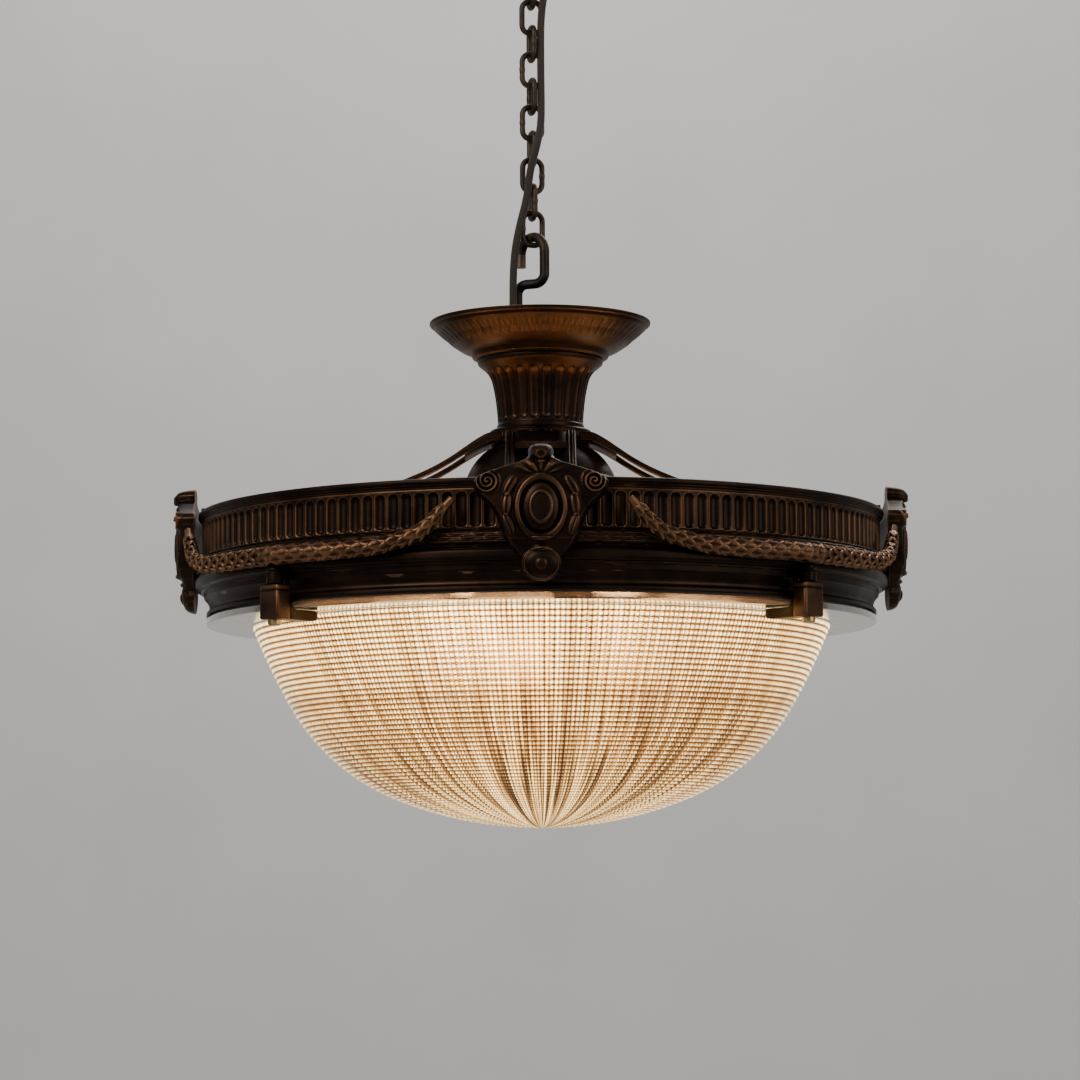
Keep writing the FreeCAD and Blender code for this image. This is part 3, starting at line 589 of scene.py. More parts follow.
def build_flex():
    """The flex in eleven stretches, one for each two bodies that follow one another, cut midway between the
    chain's hinges.
    """
    line, run = even_steps(spline_points(FLEX_ROUTE), FLEX_STEP)
    hinges = [joints[f"link_{k:02d}_swing"]["pos_m"][2] for k in range(LINK_COUNT, 0, -1)]
    hinges.append(joints["hook_swing"]["pos_m"][2])
    bodies = ["ceiling"] + [f"link_{k:02d}" for k in range(LINK_COUNT, 0, -1)] + ["fixture"]
    middles = [(a + b) / 2 for a, b in zip(hinges, hinges[1:])]
    cuts = [line[0][2] + 1] + middles + [line[-1][2] - 1]
    girth = 2 * math.pi * FLEX_RADIUS * MM
    angle = turn(FLEX_SECTIONS)[None, :]
    for number, (upper, lower) in enumerate(zip(bodies, bodies[1:])):
        inside = np.where((line[:, 2] <= cuts[number] + 1e-9) & (line[:, 2] >= cuts[number + 1]))[0]
        chosen = np.arange(inside[0], min(inside[-1] + 2, len(line)))
        path, length = line[chosen], run[chosen]
        swirl = 2 * math.pi * (length[:, None] / girth * 1.1)
        weave = np.sin(BRAID_THREADS * (angle + swirl)) * np.sin(BRAID_THREADS * (angle - swirl))
        shell = Shell()
        tube(shell, path, FLEX_RADIUS * MM, FLEX_SECTIONS, relief=0.985 + BRAID_DEPTH * weave,
             caps=number in (0, len(bodies) - 2))
        piece = shell.build(f"flex_{number + 1:02d}", BRAID, "braided_flex")
        layer = piece.data.uv_layers.new(name="around_along")
        corner = np.zeros(len(piece.data.loops), int)
        piece.data.loops.foreach_get("vertex_index", corner)
        row = np.clip(corner // FLEX_SECTIONS, 0, len(length) - 1)
        uv = np.stack([corner % FLEX_SECTIONS / FLEX_SECTIONS, length[row] / girth], 1)
        layer.data.foreach_set("uv", uv.ravel())
        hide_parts("supply_flex")
        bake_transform(piece)


build_flex()


# ---- chain


LINK_WIRE = 2.05
LINK_HALF_WIDTH, LINK_CROWN = 7.2, 6.2


def build_link(number):
    """A welded link: a round wire on an oval, with its weld bead and a slight narrowing each side of it."""
    node = f"chain_link_{number:02d}"
    low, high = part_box(node)
    centre = np.array((low + high) / 2)
    twist = CHAIN_TWIST + (0 if number % 2 else math.pi / 2)
    across = np.array([math.cos(twist), math.sin(twist), 0])
    half_height = (high.z - low.z) / MM / 2 - LINK_WIRE
    corners = []
    for sign_x, sign_z, start in ((1, 1, 0), (-1, 1, 90), (-1, -1, 180), (1, -1, 270)):
        for step in range(13):
            a = math.radians(start + step * 7.5)
            corners.append((
                sign_x * (LINK_HALF_WIDTH - LINK_CROWN) + LINK_CROWN * math.cos(a),
                sign_z * (half_height - LINK_CROWN) + LINK_CROWN * math.sin(a),
            ))
    corners.append(corners[0])
    flat = np.array(corners)
    run = running_length(flat)
    marks = np.linspace(0, run[-1], 121)[:-1]
    u, v = np.interp(marks, run, flat[:, 0]), np.interp(marks, run, flat[:, 1])
    path = centre + u[:, None] * MM * across + v[:, None] * MM * np.array([0, 0, 1])
    welded = u * (-1 if number % 3 else 1) > 0
    bead = 1 + 0.10 * np.exp(-(v / 1.3) ** 2) * welded
    bead -= 0.05 * np.exp(-((np.abs(v) - 3.0) / 1.2) ** 2) * welded
    shell = Shell()
    tube(shell, path, LINK_WIRE * MM * bead, 20, closed=True)
    shell.build(f"link_{number:02d}", IRON, "dark_iron", f"link_{number:02d}", [node])


for link in range(1, LINK_COUNT + 1):
    build_link(link)


# ---- the dish, neck and hub


def leaf_band(angle, count, centre, half_width, row):
    """Height 0..1 of a row of upright rounded leaves with a midrib."""
    phase = in_cell(angle, count)
    across = phase / 0.46
    along = (row - centre) / half_width
    inside = unit(1 - across**2 / np.maximum(1 - 0.75 * along**2, 0.01)) * unit(1 - along**2)
    rib = np.exp(-(phase / 0.06) ** 2)
    return np.sqrt(inside) * (1 - 0.45 * rib)


DISH_LEAVES = 56
NECK_FLUTES = 24
HUB_BEADS = 60


def build_dish():
    """The shallow dish, with a fine border of leaves on its underside."""
    outline = profile([
        (7.6, 117, 0), (52, 117, 10), (62.5, 123.6, 4), (75.2, 136.2, 3), (77.2, 140.4, 0.8),
        (79.6, 140.4, 1.2), (79.6, 138.2, 1.0), (77.6, 137.0, 0.5), (77.0, 137.5, 0.3), (76.2, 135.2, 1.0),
        (66.8, 128.0, 3), (59.6, 124.0, 1), (59.0, 124.4, 0.2), (58.2, 122.0, 1.2), (52.0, 119.0, 1.4),
        (51.4, 119.9, 0.2), (50.4, 119.5, 0.3), (49.6, 117.0, 1.0), (49.0, 114.4, 0.9), (46.4, 113.0, 0.9),
        (7.6, 113, 0),
    ], 5, 1.1)

    def relief(angle, r, z):
        under = ((r > 61) & (r < 75.2) & (z < 117 + (r - 52) * 0.82)).astype(float)
        leaves = leaf_band(angle, DISH_LEAVES, 68.2, 6.2, r)
        return under * leaves * 0.15, -under * leaves * 0.5

    build_turned_bronze("dish", "top_dish", outline, DISH_LEAVES * 16, relief)


def build_neck():
    """The trumpet neck, with round-ended flutes."""
    outline = profile([
        (28, 113, 0.4), (45.4, 113, 1.2), (45.0, 109.6, 1.2), (43.2, 108.2, 0.6), (38.6, 104.4, 2.0),
        (35.3, 99.5, 3.0), (32.6, 88, 8), (31.0, 74, 8), (30.6, 66, 1.0), (31.4, 65.2, 0.5), (31.4, 62, 0.5),
        (25.6, 62, 0.5), (25.6, 95, 8),
    ], 6, 1.2)

    def relief(angle, r, z):
        phase = in_cell(angle, NECK_FLUTES)
        width = 0.38
        top, foot = 104.5, 67.6
        pitch = 2 * math.pi * np.maximum(r, 1) / NECK_FLUTES
        beyond = np.maximum(0, z - (top - width * pitch)) + np.maximum(0, (foot + width * pitch) - z)
        reach = np.hypot(phase * pitch, beyond) / (width * pitch)
        depth = np.sqrt(unit(1 - reach**2))
        outer = (r > 29.5) & (z > 64)
        return -1.9 * depth * outer, 0 * z

    build_turned_bronze("neck", "fluted_neck", outline, NECK_FLUTES * 20, relief)


def build_hub():
    """The hub disc, with a row of beads round its edge."""
    outline = profile([
        (8.0, 62, 0), (35.0, 62, 1.2), (36.9, 60.4, 0.8), (36.2, 59.0, 0.4), (37.0, 58.2, 0.6),
        (37.0, 53.6, 0.6), (36.2, 52.8, 0.4), (36.9, 51.4, 0.8), (35.0, 50, 1.0), (8.0, 50, 0),
    ], 5, 1.2)

    def relief(angle, r, z):
        band = (r > 35.6) & (z > 53.2) & (z < 58.6)
        beads = np.sqrt(unit(1 - (in_cell(angle, HUB_BEADS) / 0.46) ** 2))
        beads = beads * np.sqrt(unit(1 - ((z - 55.9) / 2.6) ** 2))
        return band * (beads - 1) * 0.9, 0 * z

    build_turned_bronze("hub", "arm_hub", outline, HUB_BEADS * 12, relief)


def build_canopy():
    """The bell under the hub, with a bead round its shoulder and another at its rim."""
    outline = profile([
        (8, 50, 0), (34.6, 50, 0.6), (36.0, 49.2, 0.6), (35.4, 48.4, 0.3), (40.6, 45.8, 3),
        (47.6, 38.4, 6), (52.2, 30.5, 4), (53.4, 26.4, 0.5), (54.8, 25.6, 0.6), (55.0, 22, 0.6),
        (53.0, 22, 0.4), (51.0, 29.6, 5), (46.0, 38.0, 6), (39.2, 45.0, 3), (33.4, 48, 0.5), (8, 48, 0),
    ], 5, 1.5)
    build_turned_bronze("canopy", "wiring_canopy", outline, 360)


build_dish()
build_neck()
build_hub()
build_canopy()


# ---- the ring

FRIEZE_FLUTES = 160
FRIEZE_RADIUS, FRIEZE_BACK = 241.5, 236.0
FRIEZE_TOP, FRIEZE_FOOT = -7.0, -33.0
LAUREL_LEAVES = 96
RING_COLUMNS = 540


def build_cornice():
    outline = profile([
        (232, 0, 0.6), (240.5, 0, 0.5), (241.2, -0.5, 0.3), (244.4, -0.5, 1.6), (244.4, -3.9, 1.6),
        (242.9, -4.3, 0.3), (242.9, -5.2, 0.4), (241.9, -5.8, 0.3), (241.9, -7, 0.2), (232, -7, 0.4),
    ], 5, 4)
    build_turned_bronze("cornice", "cornice_ring", outline, RING_COLUMNS)


def build_frieze():
    """Upright flutes with round heads, cut into the band."""
    land = np.linspace(0.40, 0.5, 3)
    across = np.concatenate([-land[::-1][:-1], np.linspace(-0.40, 0.40, 14), land[1:-1]])
    cells = np.arange(FRIEZE_FLUTES)[:, None] + 0.5 + across[None, :]
    angles = (cells * 2 * math.pi / FRIEZE_FLUTES).ravel()
    heights = np.concatenate([
        np.linspace(-33, -31.2, 3), np.linspace(-30.8, -26.4, 7), np.linspace(-25, -15, 4),
        np.linspace(-13.6, -9.2, 8), np.linspace(-8.7, -7, 3),
    ])
    pitch = 2 * math.pi * FRIEZE_RADIUS / FRIEZE_FLUTES
    half = 0.39 * pitch
    phase = in_cell(angles, FRIEZE_FLUTES)
    zz, pp = np.meshgrid(heights, phase, indexing="ij")
    beyond = np.maximum(0, zz + 9.2 + half) + np.maximum(0, -31.2 + half * 0.5 - zz)
    reach = np.hypot(pp * pitch, beyond) / half
    depth = np.sqrt(unit(1 - reach**2))
    row = np.ones((1, len(angles)))
    r = np.vstack([FRIEZE_BACK * row, FRIEZE_RADIUS - 2.6 * depth, FRIEZE_BACK * row])
    z = np.vstack([FRIEZE_FOOT * row, zz, FRIEZE_TOP * row])
    a = np.broadcast_to(angles, r.shape)
    shell = Shell()
    shell.add(around(r, a, z), grid_faces(len(r), len(angles), close_rows=True))
    build_bronze(shell, "frieze", "fluted_frieze")


def build_laurel():
    """A bound laurel torus: three overlapping rows of leaves that all lie one way."""
    outline = profile([
        (236, -33, 0.4), (243.4, -33, 0.5), (243.8, -34.0, 0.3), (242.8, -34.4, 0.2),
        (244.8, -35.2, 1.2), (245.3, -39.5, 3), (244.8, -43.8, 1.2), (242.8, -44.6, 0.2),
        (243.8, -45.0, 0.3), (243.4, -46, 0.5), (236, -46, 0.4),
    ], 5, 0.7)
    pitch_angle = 2 * math.pi / LAUREL_LEAVES

    def leaf(along, across):
        width = np.sqrt(unit(1 - along**2)) * (1 - 0.25 * along)
        body = np.sqrt(unit(1 - (across / np.maximum(width, 1e-3)) ** 2)) * (np.abs(along) < 1)
        rise = 0.35 + 0.65 * unit((1 - along) / 2 + 0.1)
        groove = 1 - 0.35 * np.exp(-(across / 0.09) ** 2)
        return body * rise * groove

    def relief(angle, r, z):
        on = (r > 242.3) & (z < -34.7) & (z > -44.3)
        height = np.zeros_like(r)
        for offset, level in ((0.0, -39.5), (0.5, -36.9), (0.5, -42.1)):
            phase = (angle / pitch_angle + offset) % 1
            for shift in (-1, 0, 1):
                along = (phase - 0.5 + shift) / 0.78
                across = (z - level) / 2.5
                height = np.maximum(height, leaf(along, across))
        return on * (height * 2.0 - 0.9), 0 * z

    build_turned_bronze("laurel", "laurel_band", outline, LAUREL_LEAVES * 16, relief)


def build_base():
    outline = profile([
        (234, -46, 0.4), (243.2, -46, 0.4), (243.6, -46.9, 0.2), (246.4, -47.4, 2.6), (246.4, -54.4, 2.6),
        (242.6, -55.4, 0.3), (242.6, -56.4, 0.3), (240.2, -56.6, 0.2), (240.0, -60.4, 0.5),
        (238.9, -61.2, 0.3), (236.6, -64.4, 2.4), (235.9, -68.6, 2.0), (238.2, -70.6, 0.7),
        (238.4, -73, 0.5), (226.5, -73, 0.4), (226.5, -56, 1.0),
    ], 6, 3)
    build_turned_bronze("base", "base_moulding", outline, RING_COLUMNS)


build_cornice()
build_frieze()
build_laurel()
build_base()


# ---- arms


def along_curve(points, samples):
    """A smooth run through (r, z) points by piecewise cubic steps."""
    points = np.array(points, float)
    x = points[:, 0]
    slope = np.gradient(points[:, 1], x)
    r = np.linspace(x[0], x[-1], samples)
    i = np.clip(np.searchsorted(x, r) - 1, 0, len(x) - 2)
    h = x[i + 1] - x[i]
    t = (r - x[i]) / h
    z = (
        (2 * t**3 - 3 * t**2 + 1) * points[i, 1] + (t**3 - 2 * t**2 + t) * h * slope[i]
        + (-2 * t**3 + 3 * t**2) * points[i + 1, 1] + (t**3 - t**2) * h * slope[i + 1]
    )
    return r, z


ARM_TOP = [
    (28, 58), (37, 57.8), (44, 54.3), (54, 47.6), (63, 41.4), (76, 33.9), (95, 25.4), (125, 15.6),
    (160, 8.6), (200, 5.2), (229, 4.7), (241, 4.5),
]
ARM_UNDERSIDE = [
    (28, 51.5), (37, 51.4), (44, 48.4), (54, 42.6), (63, 36.9), (76, 29.5), (95, 21.3), (125, 11.8),
    (160, 5.0), (200, 1.2), (229, 0.1), (241, 0.1),
]
ARM_SAMPLES = 90
STRAP_INNER, STRAP_OUTER = 18.5, 25
ROOT_START, ROOT_END, FOOT_START = 33, 54, 227


def build_arm(number, degrees):
    """Two thin straps on one curve, joined by a root at the hub and a foot on the ring."""
    r, upper = along_curve(ARM_TOP, ARM_SAMPLES)
    _, lower = along_curve(ARM_UNDERSIDE, ARM_SAMPLES)
    shell = Shell()

    def rail(inner, outer, first, last):
        """A bar between two sideways offsets, with a rounded back and a bead along each edge."""
        width = outer - inner
        section = rounded([
            (inner, 0.0, 0.6), (inner, 0.72, 0.5), (inner + width * 0.16, 1.0, 0.3),
            (inner + width * 0.3, 0.86, 0.3), (inner + width * 0.5, 1.0, 1.0),
            (inner + width * 0.7, 0.86, 0.3), (inner + width * 0.84, 1.0, 0.3),
            (outer, 0.72, 0.5), (outer, 0.0, 0.6),
        ], 3)
        pick = slice(first, last)
        hi, lo = upper[pick][:, None], lower[pick][:, None]
        level = lo + (hi - lo) * section[:, 1][None, :]
        closed_run(shell, turned(r[pick][:, None], section[:, 0][None, :], level, degrees))

    rail(STRAP_INNER, STRAP_OUTER, 0, ARM_SAMPLES)
    rail(-STRAP_OUTER, -STRAP_INNER, 0, ARM_SAMPLES)
    start, root, foot = (int(np.searchsorted(r, reach)) for reach in (ROOT_START, ROOT_END, FOOT_START))
    web = STRAP_INNER + 0.1
    rail(-web, web, start, root + 1)
    rail(-web, web, foot, ARM_SAMPLES)
    build_bronze(shell, f"arm_piece_{number}", f"arm_{number}")


# ---- cartouches

# height and half width of the shield, from its crest down
SHIELD = [
    (20.0, 3.5), (18.6, 6.6), (15.5, 8.4), (12.2, 8.0), (10.0, 9.6), (7.6, 15.0), (5.0, 24.0),
    (2.2, 33.0), (-0.8, 41.0), (-4.5, 44.0), (-9.0, 43.4), (-13.5, 40.0), (-17.5, 35.6), (-22, 31.5),
    (-27, 28.8), (-33, 27.0), (-39, 25.0), (-45, 21.6), (-50, 17.2), (-53.5, 14.4), (-57, 14.8),
    (-61, 14.0), (-65, 11.0), (-67.5, 7.4), (-69.0, 3.0),
]
SHIELD_FOOT, SHIELD_CREST = -69, 20
SHIELD_SWELL = ([SHIELD_FOOT, -60, -50, -42, 4, 11, SHIELD_CREST], [3.5, 4.6, 6.4, 9.6, 9.8, 8.8, 6.5])
SHIELD_BACK, SHIELD_FACE = 247.3, 247.8
SHIELD_BEND = 248
SHIELD_DEEPEST = 15.2


def build_cartouche(number, degrees):
    """A cast shield: crest, rolled shoulders, an oval medallion, hanging leaves and a boss at its foot."""
    heights = np.linspace(SHIELD_FOOT, SHIELD_CREST, 179)
    widths = np.interp(heights, *np.array(SHIELD[::-1]).T)
    u = np.sin(np.linspace(-1, 1, 141) * math.pi / 2)
    zz, uu = np.meshgrid(heights, u, indexing="ij")
    tt = uu * widths[:, None]
    h = np.interp(zz, *SHIELD_SWELL)

    def dome(t0, z0, rt, rz, height):
        return height * np.sqrt(unit(1 - ((tt - t0) / rt) ** 2 - ((zz - z0) / rz) ** 2))

    def ring(t0, z0, rt, rz, wide, height):
        d = (np.hypot((tt - t0) / rt, (zz - z0) / rz) - 1) * min(rt, rz)
        return height * np.sqrt(unit(1 - (d / wide) ** 2))

    # medallion, then scrolls and leaves on both sides
    h = h + ring(0, -22, 15.5, 19.5, 2.2, 3.0) + dome(0, -22, 12.0, 16.0, 4.6)
    h = h + ring(0, -22, 7.0, 10.0, 1.0, 0.8)
    for side in (-1, 1):
        sx, sz = side * 34.5, -5.0
        dist = np.hypot(tt - sx, zz - sz)
        bearing = np.arctan2(zz - sz, side * (tt - sx))
        coil = (dist / 2.9 - bearing / (2 * math.pi)) % 1 - 0.5
        h = h + (dist < 9.0) * (1.4 * np.cos(coil * 2 * math.pi) + 1.6) * unit((9.0 - dist) / 1.5)
        h = h + dome(sx, sz, 2.6, 2.6, 1.6)
        for t0, z0, lean in ((20, -8, 0.5), (22, -20, 0.1), (21, -33, -0.35)):
            c, s = math.cos(lean), math.sin(lean)
            a = (side * tt - t0) * c + (zz - z0) * s
            b = -(side * tt - t0) * s + (zz - z0) * c
            blade = np.sqrt(unit(1 - (a / 3.4) ** 2 - (b / 7.6) ** 2))
            h = h + blade * (1.9 - 0.7 * np.exp(-(a / 0.7) ** 2))
    # a fan of lobes under the crest's knob
    fan = np.arctan2(tt, zz + 2.0)
    reach = np.hypot(tt, zz + 2.0)
    lobes = 1.1 + 2.6 * np.abs(np.cos(fan * 4.5))
    h = h + (zz > -2) * unit(1 - np.abs(reach - 9.5) / 9.0) * lobes * unit((1.35 - np.abs(fan)) / 0.25)
    h = h + dome(0, 14.5, 7.6, 6.0, 6.4)
    # the boss at the foot, and the husk above it
    h = h + dome(0, -58.5, 11.5, 9.5, 4.2) + ring(0, -58.5, 12.0, 10.0, 1.1, 1.2)
    h = h + dome(0, -58.5, 4.0, 4.0, 1.4)
    husk = np.abs(np.sin((zz + 46) / 4.2 * math.pi))
    h = h + (zz < -41) * (zz > -50) * np.exp(-((tt) / 5.5) ** 2) * (1.0 + 1.4 * husk)
    edge = unit((1 - np.abs(uu)) * widths[:, None] / 3.4)
    ends = unit(np.minimum(zz - SHIELD_FOOT, SHIELD_CREST - zz) / 3.0)
    lip = np.sqrt(unit(1 - (1 - edge) ** 2)) * np.sqrt(unit(1 - (1 - ends) ** 2))
    h = np.minimum(h, SHIELD_DEEPEST) * lip
    curve = (SHIELD_BEND - np.sqrt(SHIELD_BEND**2 - tt**2)) * 0.9
    rows, columns = tt.shape
    size = rows * columns
    faces = grid_faces(rows, columns, close_columns=False)
    shell = Shell()
    shell.add(turned(SHIELD_FACE + h - curve, tt, zz, degrees), faces)
    shell.add(turned(SHIELD_BACK - curve, tt, zz, degrees), faces[:, ::-1])
    index, after = border_of(rows, columns)
    shell.faces.append(np.stack([index, index + size, after + size, after], -1))
    build_bronze(shell, f"cartouche_piece_{number}", f"cartouche_{number}")


# ---- garlands


def leaf_blade(length, width, thick):
    """A small pointed leaf that lies along +X with its back towards +Z: points and quads."""
    rows, columns = 7, 5
    points = []
    for i in range(rows):
        t = i / (rows - 1)
        half = width / 2 * math.sin(math.pi * min(1, t * 0.92 + 0.06)) ** 0.8
        lift = thick * (0.35 + 1.5 * t - 0.9 * t * t)
        for j in range(columns):
            s = j / (columns - 1) * 2 - 1
            points.append((t * length, s * half, lift + thick * (0.55 * (1 - s * s) - 0.3 * (s == 0))))
    top = np.array(points)
    foot = top.copy()
    foot[:, 2] = -thick * 0.4
    faces = grid_faces(rows, columns, close_columns=False)
    index, after = border_of(rows, columns)
    side = np.stack([index, after, after + len(top), index + len(top)], -1)
    return np.vstack([top, foot]), np.vstack([faces[:, ::-1], faces + len(top), side])


# degrees from the cartouche and height of the first half of a swag
SWAG_HALF = [(12.6, -13), (17.5, -35.5), (24, -43.5), (31, -45), (38, -45)]
SWAG_RADIUS = 253.4
SWAG_CORE, LEAF_SEAT = 4.0, 2.8
LEAF_STEP = 0.0062
LEAVES_ROUND = 5
LEAF_TILT = 0.2


def build_garland(number, degrees):
    """A swag of overlapping laurel leaves that point down to the middle from both ends."""
    stations = SWAG_HALF + [(45, -45)] + [(90 - d, z) for d, z in reversed(SWAG_HALF)]
    fine_t = np.linspace(0, len(stations) - 1, 200)
    marks = np.arange(len(stations))
    angle = np.interp(fine_t, marks, [s[0] for s in stations])
    height = np.interp(fine_t, marks, [s[1] for s in stations])
    pad = 12
    kernel = np.hanning(2 * pad + 1)
    kernel /= kernel.sum()
    angle, height = (np.convolve(np.pad(v, pad, mode="edge"), kernel, "valid") for v in (angle, height))
    line = around(SWAG_RADIUS, np.radians(angle + degrees), height)
    path, run = even_steps(line, LEAF_STEP)
    total = run[-1]
    taper = 0.62 + 0.38 * np.sin(np.clip(run / total, 0, 1) * math.pi) ** 0.5
    shell = Shell()
    tube(shell, path, SWAG_CORE * MM * taper, 12)
    tangent = np.gradient(path, axis=0)
    tangent /= np.linalg.norm(tangent, axis=1)[:, None]
    blade, faces = leaf_blade(12.5 * MM, 7.6 * MM, 1.3 * MM)
    for i in range(1, len(path) - 1):
        forward = tangent[i] if run[i] < total / 2 else -tangent[i]
        outward = np.array([path[i][0] - AXIS_X, path[i][1], 0])
        outward /= np.linalg.norm(outward)
        outward -= forward * (outward @ forward)
        outward /= np.linalg.norm(outward)
        side = np.cross(forward, outward)
        for k in range(LEAVES_ROUND):
            a = (k + 0.5 * (i % 2)) / LEAVES_ROUND * 2 * math.pi
            up = math.cos(a) * outward + math.sin(a) * side
            flank = np.cross(up, forward)
            ahead = forward * math.cos(LEAF_TILT) + up * math.sin(LEAF_TILT)
            rise = up * math.cos(LEAF_TILT) - forward * math.sin(LEAF_TILT)
            spot = path[i] + up * LEAF_SEAT * MM * taper[i]
            leaf = blade[:, :1] * ahead + blade[:, 1:2] * flank + blade[:, 2:3] * rise
            shell.add(spot + taper[i] * leaf, faces)
    build_bronze(shell, f"garland_piece_{number}", f"garland_{number}")


for build in (build_arm, build_cartouche, build_garland):
    for index, degrees in enumerate(ORNAMENT_ANGLES, start=1):
        build(index, degrees)


# ---- glass clips

CLIP_RADIUS = 250.0


def turned_at(shell, outline, degrees, columns=40):
    """An outline (r, z) turned about a clip's own upright axis."""
    a = math.radians(degrees)
    cx, cy = AXIS_X + CLIP_RADIUS * math.cos(a) * MM, CLIP_RADIUS * math.sin(a) * MM
    t = turn(columns)
    r, z = outline[:, 0][:, None] * MM, outline[:, 1][:, None] * MM
    points = np.stack([
        cx + r * np.cos(t)[None, :], cy + r * np.sin(t)[None, :], RING_TOP + z + 0 * t[None, :]
    ], -1)
    shell.add(points, grid_faces(len(outline), columns, close_rows=True))


def build_clip_post(number, degrees):
    """A turned post with a lug that carries it on the ring."""
    post = rounded([
        (2.55, -52.2, 0), (4.4, -52.2, 0.6), (5.7, -53.4, 0.8), (5.7, -55.2, 0.5), (5.0, -55.8, 0.3),
        (5.0, -56.6, 0.3), (5.7, -57.2, 0.5), (5.7, -63.2, 0.5), (5.0, -63.95, 0.4), (2.55, -63.95, 0),
    ], 4)
    shell = Shell()
    turned_at(shell, post, degrees)
    lug = rounded([(-4.5, -63.4, 1.0), (4.5, -63.4, 1.0), (4.5, -56.1, 1.0), (-4.5, -56.1, 1.0)], 4)
    reach = np.array([244.9, 241.2, 240.4])[:, None]
    points = turned(reach, lug[:, 0][None, :], lug[:, 1][None, :], degrees)
    rows, columns = points.shape[:2]
    shell.add(points, grid_faces(rows, columns))
    build_bronze(shell, f"clip_post_piece_{number}", f"clip_post_{number}")


BLOCK_HALF_LENGTH, BLOCK_HALF_WIDTH, BLOCK_CORNER = 9.4, 5.9, 2.2
BLOCK_HEIGHTS = np.array([-64.45, -64.8, -65.8, -67.2, -67.7, -68.3, -69.2, -79.0, -85.9, -86.8, -87.15])
BLOCK_SIZES = np.array([0.90, 0.96, 1.0, 1.0, 0.95, 0.95, 1.0, 1.0, 1.0, 0.97, 0.90])
TOE_REACH = 219.0
TOE_HALF_WIDTH = 5.3


def build_clip(number, degrees):
    """A rounded block under the post, with a toe that reaches in under the glass."""
    block = rounded([
        (sx * BLOCK_HALF_LENGTH, sy * BLOCK_HALF_WIDTH, BLOCK_CORNER)
        for sx, sy in ((-1, -1), (1, -1), (1, 1), (-1, 1))
    ], 5)
    shell = Shell()
    side = block[:, 0][None, :] * BLOCK_SIZES[:, None]
    reach = CLIP_RADIUS + block[:, 1][None, :] * BLOCK_SIZES[:, None]
    closed_run(shell, turned(reach, side, BLOCK_HEIGHTS[:, None], degrees))
    nose = TOE_REACH - 5.0 * np.sin(np.linspace(0, math.pi / 2, 9))[1:]
    reach = np.concatenate([np.linspace(246.6, 219.2, 10), nose])
    tongue = TOE_HALF_WIDTH * np.sqrt(np.clip(1 - ((TOE_REACH - reach) / 5.05) ** 2, 0.004, 1))
    half = np.where(reach > TOE_REACH, TOE_HALF_WIDTH + 4.0 * unit((reach - TOE_REACH) / 25) ** 2, tongue)
    rise = unit((reach - 238.6) / 5.0)
    top = -80.0 + np.where(reach > 240.2, 9.5 * rise**2, 0)
    low = -87.1 + 1.4 * unit((222 - reach) / 8.0) ** 2
    section = rounded([(-1, 0, 0.34), (1, 0, 0.34), (1, 1, 0.22), (-1, 1, 0.22)], 5)
    level = low[:, None] + (top - low)[:, None] * section[:, 1][None, :]
    closed_run(shell, turned(reach[:, None], half[:, None] * section[:, 0][None, :], level, degrees))
    build_bronze(shell, f"clip_piece_{number}", f"glass_clip_{number}", f"clip_{number}")


for index, degrees in enumerate(CLIP_ANGLES, start=1):
    build_clip_post(index, degrees)
    build_clip(index, degrees)


# ---- the glass bowl


def arc_between(a, b, sagitta, steps):
    """Points from a down to b, on an arc that bulges away from the axis by its sagitta."""
    a, b = np.array(a, float), np.array(b, float)
    chord = b - a
    length = np.linalg.norm(chord)
    outward = np.array([-chord[1], chord[0]]) / length
    t = np.linspace(0, 1, steps + 1)
    radius = (length**2 / 4 + sagitta**2) / (2 * sagitta)
    lift = np.sqrt(radius**2 - ((t - 0.5) * length) ** 2) - (radius - sagitta)
    return a + chord * t[:, None] + outward * lift[:, None]


BULB_REACH, BULB_DEPTH = 0.118, 0.072
GLOW_REACH = 0.062


def lamp_glow(points):
    """How much of the lamps' light reaches each point (metres), 0..1."""
    total = np.zeros(points.shape[:-1])
    for degrees in LAMP_ANGLES:
        a = math.radians(degrees)
        spot = np.array([AXIS_X + BULB_REACH * math.cos(a), BULB_REACH * math.sin(a), RING_TOP - BULB_DEPTH])
        distance = np.linalg.norm(points - spot, axis=-1)
        total += 1 / (1 + (distance / GLOW_REACH) ** 2)
    return total


PRISM_RINGS, PER_RING = 66, 5
PRISM_COLUMNS = 288
BOWL_SHOULDER = -134
# how far a prism stands out and how brightly it glows, from one groove to the next
PRISM_PLACES = [0, 0.2, 0.4, 0.6, 0.8, 1.0]
PRISM_SHAPE = [0.0, 0.72, 1.0, 0.98, 0.62, 0.0]
PRISM_GLOW = [0.06, 0.66, 1.08, 1.12, 0.70, 0.06]
# height and brightness of the glass from its pole up to its rim
GLOW_BY_HEIGHT = ([-222, -205, -165, -134, -100, -80], [0.92, 0.86, 0.78, 0.84, 1.0, 1.05])
POLE_REACH = 70
INNER_PER_FLUTE = 4
INNER_FLUTE = np.array([0.0, 0.7, 1.0, 0.7])
INNER_FLUTE_DEPTH = 0.8


def depth_down(z):
    """0 on the bowl's side, growing to 1 towards its pole."""
    return unit((-125 - z) / 75) ** 0.8


